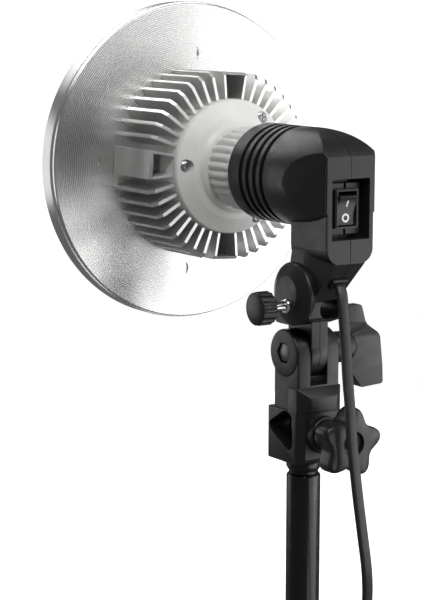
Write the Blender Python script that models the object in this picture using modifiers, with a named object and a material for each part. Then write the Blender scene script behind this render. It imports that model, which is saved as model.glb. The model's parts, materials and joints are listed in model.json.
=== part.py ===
"""LED studio lamp in a swivel E27 holder, on the top section of a light stand.

The lamp faces -Y. The switch is at +Y, the umbrella screw at +X and the tilt knob at -X.
Helper functions take millimetres, measured from the tilt axis: every object hangs on an empty
there, and the world origin is the centre of the riser's lower end.
"""

import math

import bmesh
import bpy
from mathutils import Matrix, Vector

MM = 0.001
GAP = 0.3  # clearance between touching pieces

# Driving dimensions, in millimetres from the tilt axis
TILT_HEIGHT = 330.0  # tilt axis above the riser's lower end
LAMP_Z = 96.5  # lamp axis above the tilt axis
PLATE_Y = 40.6  # rear plate of the holder
BARREL_R = 27.3
BARREL_FRONT = -37.0
GROOVES = (-24.3, -17.7, -11.1, -4.5)
DOME_START = 8.0
DOME_END_R = 22.5
SIDE_X = 15.7  # half width of the upper rear plate
BOX_X = 14.9  # half width of the lower box
BOX_FRONT, BOX_BOTTOM = 7.0, 53.0
NECK_X = 14.7
NECK_TOP_X = 9.7  # half the neck's width just under the box
NECK_SLANT = 0.26  # how far the neck's -X side goes in for each mm down
TONGUE_X, TONGUE_R = 5.4, 14.5
BOLT_R = 3.0
UMBRELLA_Z = 26.4
SCREW_Y, SCREW_Z = 11.0, 28.3  # umbrella thumb screw
BOSS_Z, BOSS_R, BOSS_FACE_R, BOSS_FACE_X = 34.5, 17.3, 10.0, 20.6
SWITCH_Z = 82.2
LEDGE_Y = 34.8  # front of the raised frame that holds the switch
PIVOT_Y = 33.0  # rocker pivot
ROCKER_REST = -12.0  # degrees, lower half pressed
EAR_X, EAR_R = 14.2, 13.3
BLOCK_X, BLOCK_Y = 15.0, 13.7
BLOCK_TOP, BLOCK_BOTTOM = -31.0, -60.7
WEDGE_Y = 18.7  # rear of the wedge behind the ears
STAR_Z = -44.0
STUD_R, TUBE_R = 8.0, 9.5
TUBE_TOP = -68.9
FLOOR = -TILT_HEIGHT
FIN_R, HUB_R = 55.5, 38.5
CLOCKING = 3.3  # degrees the lamp is screwed round past level
PAN_R, PAN_BACK, PAN_FRONT = 92.8, -116.2, -129.6
FINS_BACK, HUB_BACK = -74.5, -90.0
COVER_R, COVER_Y = 38.8, -72.3

# Cord: a flat two-core lead, its width, and the coil on the riser
CORD_R = 2.8
COIL_X, COIL_Z = -50.0, -205.0
COIL_IN, COIL_OUT, COIL_HALF = 31.2, 39.4, 13.2
SLOPE_X, SLOPE_Y, SLOPE_Z = 2.1, 32.41, 41.9  # middle of the cord exit on the neck's sloping face
SLOPE_ANGLE = math.atan2(12.4, 17.0)  # the face leans this far from vertical
CORD_ROUTE = [
    (2.1, 34.3, 40.5), (2.1, 35.1, 39.9), (2.3, 36.9, 37.0), (2.8, 38.3, 32.0), (3.3, 40.3, 22.0),
    (3.5, 42.2, 8.0), (3.9, 44.4, -8.0), (4.5, 47.8, -24.0), (4.9, 50.2, -40.0),
    (4.8, 53.2, -56.0), (3.6, 55.2, -72.0), (0.6, 55.6, -92.0), (-3.4, 54.4, -112.0),
    (-7.4, 50.2, -129.0), (-9.6, 45.4, -144.0), (-11.2, 36.8, -158.0), (-12.0, 24.6, -169.0),
    (-12.4, 13.6, -178.0), (-12.4, 8.6, -184.0),
]
TAIL_ROUTE = [
    (-12.8, -3.5, -227.0), (-14.0, -4.4, -236.0), (-16.8, -5.8, -245.0), (-17.7, -6.2, -250.0),
    (-17.8, -6.2, -254.0),
]
PLUG_TOP = -254.6

PALETTE = {
    "black_plastic": ((0.022, 0.022, 0.023), 0.45, 0.0),
    "white_plastic": ((0.78, 0.78, 0.75), 0.35, 0.0),
    "pan_aluminium": ((0.72, 0.72, 0.71), 0.25, 1.0),
    "cast_aluminium": ((0.62, 0.62, 0.61), 0.35, 1.0),
    "diffuser": ((0.9, 0.9, 0.88), 0.4, 0.0),
    "board": ((0.85, 0.85, 0.82), 0.5, 0.0),
    "green_board": ((0.05, 0.2, 0.08), 0.5, 0.0),
    "bright_metal": ((0.75, 0.75, 0.76), 0.18, 1.0),
    "dark_metal": ((0.12, 0.12, 0.12), 0.4, 1.0),
    "brass": ((0.7, 0.5, 0.22), 0.3, 1.0),
    "cord": ((0.015, 0.015, 0.016), 0.5, 0.0),
    "strap": ((0.03, 0.03, 0.035), 0.9, 0.0),
    "stand_paint": ((0.012, 0.012, 0.013), 0.25, 0.0),
}

# Columns of the rotation that turns a profile's own Z to each axis
TURN_AXES = {
    "X": ((0, 1, 0), (0, 0, 1), (1, 0, 0)),
    "Y": ((0, 0, 1), (1, 0, 0), (0, 1, 0)),
    "Z": ((1, 0, 0), (0, 1, 0), (0, 0, 1)),
}
# Columns that lay an outline's own X and Y on (Y, Z), (X, Z) or (X, Y)
SECTION_AXES = {
    "X": ((0, 1, 0), (0, 0, 1), (1, 0, 0)),
    "Y": ((1, 0, 0), (0, 0, 1), (0, -1, 0)),
    "Z": ((1, 0, 0), (0, 1, 0), (0, 0, 1)),
}


def clear_scene():
    for obj in list(bpy.data.objects):
        bpy.data.objects.remove(obj)


def collection(name):
    made = bpy.data.collections.new(name)
    bpy.context.scene.collection.children.link(made)
    return made


clear_scene()
PARTS = collection("studio_lamp_head")
HELPERS = collection("cutters")
TILT_AXIS = bpy.data.objects.new("tilt_axis", None)
TILT_AXIS.location.z = TILT_HEIGHT * MM
PARTS.objects.link(TILT_AXIS)


def finish_material(name):
    material = bpy.data.materials.get(name)
    if material:
        return material
    color, roughness, metallic = PALETTE[name]
    material = bpy.data.materials.new(name)
    material.diffuse_color = (*color, 1.0)
    material.use_nodes = True
    shader = material.node_tree.nodes["Principled BSDF"]
    shader.inputs["Base Color"].default_value = (*color, 1.0)
    shader.inputs["Roughness"].default_value = roughness
    shader.inputs["Metallic"].default_value = metallic
    return material


def rotation(columns):
    return Matrix(columns).transposed().to_4x4()


def place(name, mesh, columns, at, finish):
    """An object at a point from the tilt axis. With no finish it is a helper for a Boolean."""
    obj = bpy.data.objects.new(name, mesh)
    obj.parent = TILT_AXIS
    obj.matrix_basis = Matrix.Translation(Vector(at) * MM) @ rotation(columns)
    if finish:
        mesh.materials.append(finish_material(finish))
        PARTS.objects.link(obj)
    else:
        obj.hide_render = True
        obj.display_type = "WIRE"
        HELPERS.objects.link(obj)
    return obj


def shade(obj, angle=40):
    obj.data.shade_smooth()
    obj.data.set_sharp_from_angle(angle=math.radians(angle))
    return obj


def area(points):
    """Twice the signed area of a closed outline."""
    return sum(a[0] * b[1] - b[0] * a[1] for a, b in zip(points, points[1:] + points[:1]))


def turned(name, profile, axis, at=(0, 0, 0), finish=None, steps=32):
    """A turned solid. The profile is (radius, height) points, and it is a ring if none is on the axis."""
    points = profile if area(profile) < 0 else profile[::-1]
    on_axis = [i for i, (radius, _) in enumerate(points) if radius == 0]
    count = len(points)
    if on_axis:
        first = next(i for i in on_axis if points[(i + 1) % count][0] > 0)
        points = points[first:] + points[:first]
        points = points[: next(i for i in range(1, count) if points[i][0] == 0) + 1]
        edges = [(i, i + 1) for i in range(len(points) - 1)]
    else:
        edges = [(i, (i + 1) % count) for i in range(count)]
    mesh = bpy.data.meshes.new(name)
    mesh.from_pydata([(r * MM, 0, z * MM) for r, z in points], edges, [])
    obj = place(name, mesh, TURN_AXES[axis], at, finish)
    screw = obj.modifiers.new("turn", "SCREW")
    screw.steps = screw.render_steps = steps
    screw.use_merge_vertices = True
    screw.merge_threshold = 0.00001
    return obj


def disc(name, radius, low, high, axis, at=(0, 0, 0), finish=None, steps=24, chamfer=0.0):
    c = chamfer
    profile = [(0, high), (radius - c, high), (radius, high - c), (radius, low + c), (radius - c, low), (0, low)]
    if not c:
        profile = [(0, high), (radius, high), (radius, low), (0, low)]
    return turned(name, profile, axis, at, finish, steps)


def tube(name, outer, inner, low, high, axis, at=(0, 0, 0), finish=None, steps=32):
    return turned(name, [(outer, high), (outer, low), (inner, low), (inner, high)], axis, at, finish, steps)


def rounded(corners, steps=5):
    """An outline of (x, y) or (x, y, radius) corners, with arcs for the radii."""
    points = []
    count = len(corners)
    for i, corner in enumerate(corners):
        here = Vector(corner[:2])
        radius = corner[2] if len(corner) > 2 else 0
        if not radius:
            points.append(tuple(here))
            continue
        back = (Vector(corners[i - 1][:2]) - here).normalized()
        ahead = (Vector(corners[(i + 1) % count][:2]) - here).normalized()
        half = back.angle(ahead) / 2
        middle = here + (back + ahead).normalized() * (radius / math.sin(half))
        start = here + back * (radius / math.tan(half)) - middle
        sweep = (math.pi - 2 * half) * (1 if back.x * ahead.y - back.y * ahead.x < 0 else -1)
        for k in range(steps + 1):
            points.append(tuple(middle + Matrix.Rotation(sweep * k / steps, 2) @ start))
    return points


def rectangle(x0, x1, y0, y1, radius=0.0):
    return rounded([(x0, y0, radius), (x1, y0, radius), (x1, y1, radius), (x0, y1, radius)], 3)


def circle(radius, x=0.0, y=0.0, steps=24):
    return [
        (x + radius * math.cos(math.tau * k / steps), y + radius * math.sin(math.tau * k / steps))
        for k in range(steps)
    ]


def evaluated_mesh(obj, name):
    bpy.context.view_layer.update()
    graph = bpy.context.evaluated_depsgraph_get()
    return bpy.data.meshes.new_from_object(obj.evaluated_get(graph))


def extruded(name, outlines, axis, low, high, finish=None, at=(0, 0, 0)):
    """A flat outline, or an outline and its holes, extruded from low to high along an axis."""
    outlines = outlines if isinstance(outlines[0], list) else [outlines]
    curve = bpy.data.curves.new(name, "CURVE")
    curve.dimensions = "2D"
    curve.fill_mode = "BOTH"
    curve.extrude = (high - low) / 2 * MM
    for outline in outlines:
        spline = curve.splines.new("POLY")
        spline.points.add(len(outline) - 1)
        spline.use_cyclic_u = True
        for point, (x, y) in zip(spline.points, outline):
            point.co = (x * MM, y * MM, 0, 1)
    sketch = bpy.data.objects.new(name + "_sketch", curve)
    HELPERS.objects.link(sketch)
    mesh = evaluated_mesh(sketch, name)
    bpy.data.objects.remove(sketch)
    weld(mesh)
    middle = Vector(at)
    middle["XYZ".index(axis)] += (low + high) / 2
    return place(name, mesh, SECTION_AXES[axis], middle, finish)


def weld(mesh):
    work = bmesh.new()
    work.from_mesh(mesh)
    bmesh.ops.remove_doubles(work, verts=work.verts, dist=1e-6)
    bmesh.ops.recalc_face_normals(work, faces=work.faces)
    work.to_mesh(mesh)
    work.free()


def block(name, low, high, finish=None, bevel=0.0):
    mesh = bpy.data.meshes.new(name)
    work = bmesh.new()
    bmesh.ops.create_cube(work, size=1.0)
    size = [h - l for l, h in zip(low, high)]
    bmesh.ops.scale(work, vec=Vector(size) * MM, verts=work.verts)
    work.to_mesh(mesh)
    work.free()
    middle = [(l + h) / 2 for l, h in zip(low, high)]
    obj = place(name, mesh, TURN_AXES["Z"], middle, finish)
    if bevel:
        rounding = obj.modifiers.new("edges", "BEVEL")
        rounding.width = bevel * MM
        rounding.segments = 1
    return obj


def boolean(target, operation, others):
    for other in others:
        modifier = target.modifiers.new(operation.lower(), "BOOLEAN")
        modifier.operation = operation
        modifier.object = other
    return target


def cut(target, *cutters):
    return boolean(target, "DIFFERENCE", cutters)


def join(target, *others):
    return boolean(target, "UNION", others)


def keep(target, *others):
    return boolean(target, "INTERSECT", others)


def cord_tube(name, route, finish, radius=CORD_R, spacing=7.0):
    """A tube along a smooth curve through the route's points."""
    points = [Vector(p) for p in route]
    ends = [points[0] * 2 - points[1]] + points + [points[-1] * 2 - points[-2]]
    smooth = []
    for a, b, c, d in zip(ends, ends[1:], ends[2:], ends[3:]):
        steps = max(1, round((c - b).length / spacing))
        for k in range(steps):
            t = k / steps
            tangent_b, tangent_c = (c - a) / 2, (d - b) / 2
            smooth.append(
                b * (2 * t**3 - 3 * t**2 + 1) + tangent_b * (t**3 - 2 * t**2 + t)
                + c * (3 * t**2 - 2 * t**3) + tangent_c * (t**3 - t**2)
            )
    smooth.append(points[-1])
    curve = bpy.data.curves.new(name, "CURVE")
    curve.dimensions = "3D"
    curve.bevel_depth = radius * MM
    curve.bevel_resolution = 2
    curve.use_fill_caps = True
    curve.materials.append(finish_material(finish))
    spline = curve.splines.new("POLY")
    spline.points.add(len(smooth) - 1)
    for point, place_at in zip(spline.points, smooth):
        point.co = (*(place_at * MM), 1)
    obj = bpy.data.objects.new(name, curve)
    obj.parent = TILT_AXIS
    PARTS.objects.link(obj)
    return obj


# ---------------------------------------------------------------- lamp


def turned_points(points, degrees):
    turn = Matrix.Rotation(math.radians(degrees), 2)
    return [tuple(turn @ Vector(p)) for p in points]


def heat_sink_outline():
    """Eight fins between each pair of box channels, round a hub."""
    fin_half, fin_pitch, wall = 0.95, 8.1, 1.5
    channel_reach = 54.0
    spread = math.tan(math.radians(7.1))
    outline = []
    holes = []
    for quarter in range(4):
        base = quarter * 90 + CLOCKING
        foot_half, tip_half = HUB_R * spread + wall, channel_reach * spread + wall
        spans = [(base, foot_half, tip_half, channel_reach)]
        spans += [(base + 45 + (k - 3.5) * fin_pitch, fin_half, fin_half, FIN_R) for k in range(8)]
        for angle, inner, outer, reach in spans:
            foot = math.sqrt(HUB_R**2 - inner**2)
            outline += turned_points([(foot, -inner), (reach, -outer), (reach, outer), (foot, inner)], angle)
        near, far = HUB_R + 0.3, channel_reach - wall
        hole = [(near, -near * spread), (far, -far * spread), (far, far * spread), (near, near * spread)]
        holes.append(turned_points(hole, base))
    return [outline, circle(HUB_R - 4.0, steps=48)] + holes


def make_lamp():
    axis = (0, 0, LAMP_Z)
    turned("led_pan", [
        (0, PAN_BACK), (PAN_R - 1.5, PAN_BACK), (PAN_R, PAN_BACK - 1.0), (PAN_R + 0.4, PAN_BACK - 2.4),
        (PAN_R + 1.0, PAN_BACK - 3.0), (PAN_R + 1.0, PAN_FRONT), (PAN_R - 1.0, PAN_FRONT),
        (PAN_R - 1.2, PAN_BACK - 3.4), (PAN_R - 3.0, PAN_BACK - 1.8), (0, PAN_BACK - 1.8),
    ], "Y", axis, "pan_aluminium", 48)
    disc("led_board", 80.0, PAN_BACK - 3.7, PAN_BACK - 2.1, "Y", axis, "board", 48)
    turned("front_diffuser", [
        (0, PAN_FRONT + 0.4), (60, PAN_FRONT + 0.8), (PAN_R - 1.6, PAN_FRONT + 1.6),
        (PAN_R - 1.6, PAN_FRONT + 4.0), (0, PAN_FRONT + 3.4),
    ], "Y", axis, "diffuser", 48)
    sink = extruded("heat_sink", heat_sink_outline(), "Y", PAN_BACK + GAP, FINS_BACK, "cast_aluminium", axis)
    cut(sink, tube("sink_seat", HUB_R + 0.7, 20.0, HUB_BACK, FINS_BACK + 2, "Y", axis, steps=48))
    keep(sink, turned("fin_limit", [
        (0, FINS_BACK + 1), (FIN_R - 4, FINS_BACK + 1), (FIN_R + 1, FINS_BACK - 4), (FIN_R + 1, PAN_BACK), (0, PAN_BACK),
    ], "Y", axis, steps=64))
    turned("driver_housing", [
        (HUB_R - 4.6, PAN_BACK + 1), (HUB_R - 4.6, HUB_BACK - GAP), (HUB_R - 6.6, HUB_BACK - GAP),
        (HUB_R - 6.6, PAN_BACK + 3), (0, PAN_BACK + 3), (0, PAN_BACK + 1),
    ], "Y", axis, "white_plastic")
    block("driver_board", (-26, PAN_BACK + 6, LAMP_Z - 9), (26, HUB_BACK + 8, LAMP_Z - 7.4), "green_board")
    turned("rear_cover", [
        (0, -64.3), (24.6, -64.3), (26.0, -66.2), (30.0, -67.4), (COVER_R - 1, COVER_Y + 0.8),
        (COVER_R, COVER_Y), (COVER_R, HUB_BACK + GAP), (COVER_R - 1.8, HUB_BACK + GAP),
        (COVER_R - 1.8, COVER_Y - 2.3), (29, -71.6), (0, -71.6),
    ], "Y", axis, "white_plastic", 36)
    cover = bpy.data.objects["rear_cover"]
    for number in (1, 2, 3):
        angle = math.radians(CLOCKING + 120 * (number - 1))
        x, z = 33.5 * math.cos(angle), LAMP_Z + 33.5 * math.sin(angle)
        cut(cover, disc(f"cover_bore_{number}", 3.6, -70.9, -62.0, "Y", (x, 0, z)))
        cut(cover, disc(f"cover_hole_{number}", 1.8, -78.0, -70.0, "Y", (x, 0, z), steps=12))
        turned(f"cover_screw_{number}", [
            (0, -69.4), (2.4, -69.4), (3.1, -70.0), (3.1, -70.6), (1.5, -70.6), (1.5, -84.0), (0, -84.0),
        ], "Y", (x, 0, z), "dark_metal", 16)
    turned("neck_collar", [
        (0, -34.3), (17.0, -34.3), (17.0, -41.5), (20.5, -42.5), (23.7, -44.5), (23.9, -60.0), (22.6, -61.6),
        (22.6, -64.0), (0, -64.0),
    ], "Y", axis, "white_plastic")
    turned("screw_cap", [
        (0, -14.3), (9.0, -14.3), (12.4, -16.6), (12.9, -18.0), (12.9, -34.0), (0, -34.0),
    ], "Y", axis, "bright_metal", 24)
    turned("cap_insulator", [(0, -11.3), (5.0, -11.3), (8.4, -14.0), (0, -14.0)], "Y", axis, "black_plastic", 24)
    turned("tip_contact", [(0, -9.4), (3.4, -9.8), (4.4, -11.0), (0, -11.0)], "Y", axis, "bright_metal", 16)


# ---------------------------------------------------------------- holder


def dome_radius(y):
    """Radius of the holder's dome, which narrows from the barrel to the rear plate."""
    length = (PLATE_Y - DOME_START) / math.sqrt(1 - (DOME_END_R / BARREL_R) ** 2)
    return BARREL_R * math.sqrt(max(0.0, 1 - ((y - DOME_START) / length) ** 2))


def roof_height(y):
    """Height of the dome's top line, an ellipse that ends on the rear plate's top edge."""
    drop = 13.8 / BARREL_R
    length = (PLATE_Y - DOME_START) / math.sqrt(1 - drop**2)
    return LAMP_Z + BARREL_R * math.sqrt(max(0.0, 1 - ((y - DOME_START) / length) ** 2))


def span(low, high, count):
    return [low + (high - low) * k / (count - 1) for k in range(count)]


def holder_body():
    """The outer shape of the two half shells together."""
    half, floor_r = 1.2, BARREL_R - 1.2
    grooves = [
        point
        for y in GROOVES
        for point in ((BARREL_R, y - half), (floor_r, y - half), (floor_r, y + half), (BARREL_R, y + half))
    ]
    dome = [(dome_radius(y), y) for y in span(DOME_START, PLATE_Y, 7)]
    body = turned("holder_form", [
        (0, BARREL_FRONT), (BARREL_R - 0.8, BARREL_FRONT), (BARREL_R, BARREL_FRONT + 0.8), *grooves, *dome,
        (0, PLATE_Y),
    ], "Y", (0, 0, LAMP_Z), steps=40)
    far = 60.0
    roof = [(y, roof_height(y)) for y in span(DOME_START, PLATE_Y, 7)]
    roof_form = [(-far, LAMP_Z - 40), (far, LAMP_Z - 40), (far, roof[-1][1]), *roof[::-1][0:], (-far, LAMP_Z + 28)]
    side_start = 17.4
    plan = [(-SIDE_X, PLATE_Y + 1), (-SIDE_X, PLATE_Y), (-26.4, side_start), (-29, side_start - 5.4),
            (-29, -far), (29, -far), (29, side_start - 5.4), (26.4, side_start), (SIDE_X, PLATE_Y),
            (SIDE_X, PLATE_Y + 1)]
    keep(body, extruded("roof_form", roof_form, "X", -40, 40), extruded("side_form", plan, "Z", 30, 150))
    return body


def neck_forms():
    """The lower box, the neck with its sloping rear face, the umbrella bracket and the tongue."""
    box = extruded("box_form", rounded([
        (-BOX_X, BOX_BOTTOM, 8.0), (BOX_X, BOX_BOTTOM, 8.0), (BOX_X, SWITCH_Z - 1.5), (-BOX_X, SWITCH_Z - 1.5),
    ], 4), "Y", BOX_FRONT, PLATE_Y)
    lower_rear = SLOPE_Y - (SLOPE_Z - 31.0) * math.tan(SLOPE_ANGLE)
    upper_rear = SLOPE_Y + (BOX_BOTTOM - SLOPE_Z) * math.tan(SLOPE_ANGLE)
    neck = extruded("neck_form", [
        (BOX_FRONT + 1, BOX_BOTTOM + 6), (BOX_FRONT - 1, BOX_BOTTOM - 3), (-4, 40), (-6, 31),
        (lower_rear, 31), (upper_rear, BOX_BOTTOM), (upper_rear, BOX_BOTTOM + 6),
    ], "X", -NECK_TOP_X, NECK_X)
    taper(neck)
    bracket = extruded("bracket_form", rounded([
        (-8, 36), (-8, 16.5, 3), (9, 16.5), (lower_rear - 0.6, 21.5), (lower_rear - 0.6, 36),
    ], 3), "X", -10.4, NECK_X)
    web = block("web_form", (-TONGUE_X, -8, 2), (TONGUE_X, 14.0, 20))
    tongue = disc("tongue_form", TONGUE_R, -TONGUE_X, TONGUE_X, "X", steps=32)
    boss = turned("boss_form", [
        (0, BOSS_FACE_X), (BOSS_FACE_R, BOSS_FACE_X), (BOSS_R, 16.6), (BOSS_R, NECK_X + 0.7), (BOSS_R - 2, 12), (0, 12),
    ], "X", (0, SCREW_Y, BOSS_Z))
    post_y, post_z = shell_screw_sites()[-1]
    post = disc("screw_post", 4.6, -NECK_X, 0, "X", (0, post_y, post_z))
    return box, neck, bracket, web, tongue, boss, post


def taper(neck):
    """The neck's -X side slants in from the underside of the box down, and its +X side narrows to the rear."""
    for vertex in neck.data.vertices:
        if vertex.co.z < 0:
            vertex.co.z += (BOX_BOTTOM * MM - vertex.co.y) * NECK_SLANT
    cut(neck, extruded("neck_side", [
        (NECK_X + 0.05, 18.6), (NECK_X + 10, 18.6), (NECK_X + 10, 45), (NECK_TOP_X, 45), (NECK_TOP_X, 40.5),
    ], "Z", 25, 65))


def holder_cutters():
    """Everything that is hollow in the two half shells."""
    lamp = (0, 0, LAMP_Z)
    bore = turned("barrel_bore", [
        (0, -40), (24.7, -40), (24.7, 4.0), (20.0, 8.0), (14.0, 20.0), (11.0, 28.0), (0, 28.0),
    ], "Y", lamp, steps=32)
    cavity = block("wiring_cavity", (-11.8, 11.0, 60.0), (11.8, 28.0, 93.0))
    recess = block("switch_recess", (-12.35, 31.0, 66.0), (12.35, PLATE_Y + 2, 98.4))
    umbrella = extruded("umbrella_hole", rounded([
        (-7.25, UMBRELLA_Z - 5.45, 5.4), (7.25, UMBRELLA_Z - 5.45, 5.4),
        (7.25, UMBRELLA_Z + 5.45, 5.4), (-7.25, UMBRELLA_Z + 5.45, 5.4),
    ], 5), "Y", -12, 40)
    screw = disc("screw_hole", 3.1, 5.0, 24.0, "X", (0, SCREW_Y, SCREW_Z))
    pocket = on_slope(block("gland_pocket", (-5.3, -5.0, -3.6), (5.3, 3.0, 3.6)))
    return [bore, cavity, recess, umbrella, screw, pocket]


def shell_screw_sites():
    return ((12.5, 57.0), (33.5, 57.0), (16.0, 42.0))


def make_holder():
    body = join(holder_body(), *neck_forms())
    cut(body, *holder_cutters())
    frame_block = block("switch_frame", (-10.0, 30.0, SWITCH_Z - 13.7), (10.0, LEDGE_Y, SWITCH_Z + 13.7))
    join(body, frame_block)
    cut(body, block("switch_window", (-7.2, 26.0, SWITCH_Z - 10.2), (7.2, LEDGE_Y + 1, SWITCH_Z + 10.2)))
    for number, (y, z) in enumerate(shell_screw_sites(), 1):
        cut(body, disc(f"screw_way_{number}", 1.7, -20, 8.0, "X", (0, y, z), steps=12))
        cut(body, disc(f"screw_seat_{number}", 3.2, -20, -12.4, "X", (0, y, z), steps=16))
    whole = evaluated_mesh(body, "holder_whole")
    seam = 0.15
    for name, low, high in (("shell_left", seam, 40), ("shell_right", -40, -seam)):
        shell = place(name, whole.copy(), TURN_AXES["Z"], (0, 0, 0), "black_plastic")
        shell.matrix_basis = body.matrix_basis
        keep(shell, block(name + "_side", (low, -80, -40), (high, 80, 160)))
        cut(shell, disc(name + "_bolt_hole", BOLT_R + GAP, -20, 20, "X"))
        shade(shell)
    for number, (y, z) in enumerate(shell_screw_sites(), 1):
        turned(f"shell_screw_{number}", [
            (0, 7.0), (1.4, 7.0), (1.4, -12.7), (2.8, -12.7), (2.8, -13.6), (2.0, -14.3), (0, -14.3),
        ], "X", (0, y, z), "dark_metal", 12)


def make_socket():
    lamp = (0, 0, LAMP_Z)
    turned("socket_body", [
        (24.3, -29.0), (24.3, 3.6), (0, 3.6), (0, -5.0), (13.9, -5.0), (13.9, -29.0),
    ], "Y", lamp, "black_plastic", 32)
    turned("socket_sleeve", [
        (13.6, -27.0), (13.6, -5.3), (13.25, -5.3), (13.25, -27.0),
    ], "Y", lamp, "brass", 24)
    disc("centre_contact", 4.0, -4.7 - 4.2, -5.3, "Y", lamp, "brass", 16)


def make_switch():
    """A rocker switch clipped in the frame: the body holds the rocker's pivot inside."""
    top, bottom = SWITCH_Z + 9.9, SWITCH_Z - 9.9
    body = block("switch_body", (-6.9, 18.0, bottom), (6.9, LEDGE_Y + 1.0, top), "black_plastic")
    flange = block("switch_flange", (-7.5, LEDGE_Y + GAP, SWITCH_Z - 10.5), (7.5, 37.4, SWITCH_Z + 10.5))
    join(body, flange)
    cut(body, block("rocker_well", (-6.25, 28.0, SWITCH_Z - 9.45), (6.25, 40.0, SWITCH_Z + 9.45)))
    tilt = Matrix.Rotation(math.radians(ROCKER_REST), 2)
    middle = [(5.0, 8.0), (3.9, 4.0), (3.5, 0.0), (3.9, -4.0), (5.0, -8.0), (1.0, -7.6), (-2.6, -4.0), (-2.6, 4.0), (1.0, 7.6)]
    outline = [tuple(tilt @ Vector(p)) for p in middle]
    extruded("rocker", outline, "X", -5.95, 5.95, "black_plastic", (0, PIVOT_Y, SWITCH_Z))


def make_umbrella_screw():
    at = (0, SCREW_Y, SCREW_Z)
    disc("clamp_tip", 2.6, 8.6, 9.8, "X", at, "bright_metal", 16)
    turned("thumb_screw", [(0, 34.0), (2.7, 34.0), (2.7, 10.1), (0, 10.1)], "X", at, "bright_metal", 24)
    outline = [
        (r * math.cos(a), r * math.sin(a))
        for k in range(60)
        for a, r in [(math.tau * k / 60, 9.2 if k % 4 < 2 else 8.6)]
    ]
    knob = extruded("thumb_knob", outline, "X", 31.8, 40.5, "black_plastic", at)
    cut(knob, disc("knob_socket", 2.7 + GAP, 31.0, 34.0 + GAP, "X", at))
    join(knob, turned("knob_face", [(0, 42.0), (5.0, 41.6), (8.3, 40.2), (8.3, 38.0), (0, 38.0)], "X", at))


def on_slope(obj):
    """Moves a block from the tilt axis to the neck's sloping face, with its own Y square to the face."""
    lean = Matrix.Rotation(-SLOPE_ANGLE, 4, "X")
    obj.matrix_basis = Matrix.Translation(Vector((SLOPE_X, SLOPE_Y, SLOPE_Z)) * MM) @ lean @ obj.matrix_basis
    return obj


def make_gland():
    on_slope(block("cord_gland", (-5.0, -4.6, -3.3), (5.0, 1.9, 3.3), "black_plastic", bevel=0.6))


# ---------------------------------------------------------------- stand bracket


def make_bracket():
    """A block on the stud, with two ears for the holder's tongue and a wedge behind them."""
    ears = extruded("stand_bracket", rounded([
        (-9.4, BLOCK_TOP - 6), (BLOCK_Y - 0.2, BLOCK_TOP - 6), (BLOCK_Y - 0.2, -4), (BLOCK_Y - 0.2, 0),
        *[(EAR_R * math.cos(a), EAR_R * math.sin(a)) for a in span(0.0, math.pi, 13)][1:-1],
        (-EAR_R, 0), (-9.4, -8.5),
    ]), "X", -EAR_X + 0.5, EAR_X - 0.5, "black_plastic")
    body = block("stand_block", (-BLOCK_X, -BLOCK_Y, BLOCK_BOTTOM), (BLOCK_X, BLOCK_Y, BLOCK_TOP))
    ear_disc = disc("ear_disc", EAR_R - 0.3, -EAR_X, EAR_X, "X", steps=32)
    wedge = extruded("wedge", [
        (5, BLOCK_BOTTOM), (BLOCK_Y, BLOCK_BOTTOM), (WEDGE_Y, BLOCK_BOTTOM + 4.7), (WEDGE_Y, -22.7), (BLOCK_Y, -18.0),
        (5, -18.0),
    ], "X", -15, 15)
    plan = [(-14.7, 4), (14.7, 4), (14.7, BLOCK_Y), (8.9, WEDGE_Y), (8.9, 20), (-8.9, 20), (-8.9, WEDGE_Y),
            (-14.7, BLOCK_Y)]
    keep(wedge, extruded("wedge_plan", plan, "Z", -70, -10))
    boss = disc("star_boss", 10.5, BLOCK_Y - 4, 22.0, "Y", (0, 0, STAR_Z), steps=32)
    join(ears, ear_disc, body, wedge, boss)
    cut(
        ears,
        block("clevis_gap", (-5.7, -20, -17.0), (5.7, 30, 20)),
        disc("ear_hole", BOLT_R + GAP, -20, 20, "X"),
        disc("hex_pocket", 6.2, 9.6, 20, "X", steps=6),
        disc("stud_socket", STUD_R + GAP, BLOCK_BOTTOM - 2, -36.0, "Z", steps=32),
        disc("star_hole", 3.0 + GAP, 5.0, 30, "Y", (0, 0, STAR_Z)),
        extruded("side_hole", rounded([(-13.5, -42.5, 2.0), (9.4, -53.5, 3.0), (10.0, -28.0, 5.0)]), "X", -20, 20),
    )
    shade(ears)


def make_tilt_clamp():
    bolt = disc("tilt_bolt", 5.8, 10.0, 13.4, "X", finish="dark_metal", steps=6)
    join(bolt, disc("bolt_shank", BOLT_R, -27.5, 12.0, "X"))
    tube("wing_washer", 7.0, BOLT_R + GAP, -15.9, -14.5, "X", finish="dark_metal", steps=24)
    tube("wing_insert", 5.0, BOLT_R + GAP, -26.0, -16.5, "X", finish="brass", steps=24)
    hub = turned("wing_knob", [(0, -31.0), (7.2, -31.0), (8.6, -28.5), (9.0, -16.2), (0, -16.2)], "X", finish="black_plastic")
    blade = extruded("wing_blade", rounded([
        (-28.5, -3.0), (-28.5, 23.2, 1.2), (-37.3, 23.2, 2.4), (-41.2, 11.5, 5.0), (-48.3, 6.0, 6.0),
        (-51.3, -22.9, 1.6), (-36.2, -23.8, 1.2), (-28.5, -14.0, 2.0),
    ], 3), "Y", -4.0, 4.0)
    join(hub, blade)
    cut(
        hub,
        disc("insert_socket", 5.0 + GAP, -26.0 - GAP, -16.0, "X"),
        disc("shank_socket", BOLT_R + GAP, -30.0, -16.0, "X"),
    )


def star_outline():
    """Five rounded lobes."""
    count = 60
    points = []
    for k in range(count):
        angle = math.tau * k / count
        lobe = 0.5 + 0.5 * math.cos(5 * (angle - math.radians(98.7)))
        radius = 14.2 + 5.4 * lobe**1.3
        points.append((radius * math.cos(angle), radius * math.sin(angle)))
    return points


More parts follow.
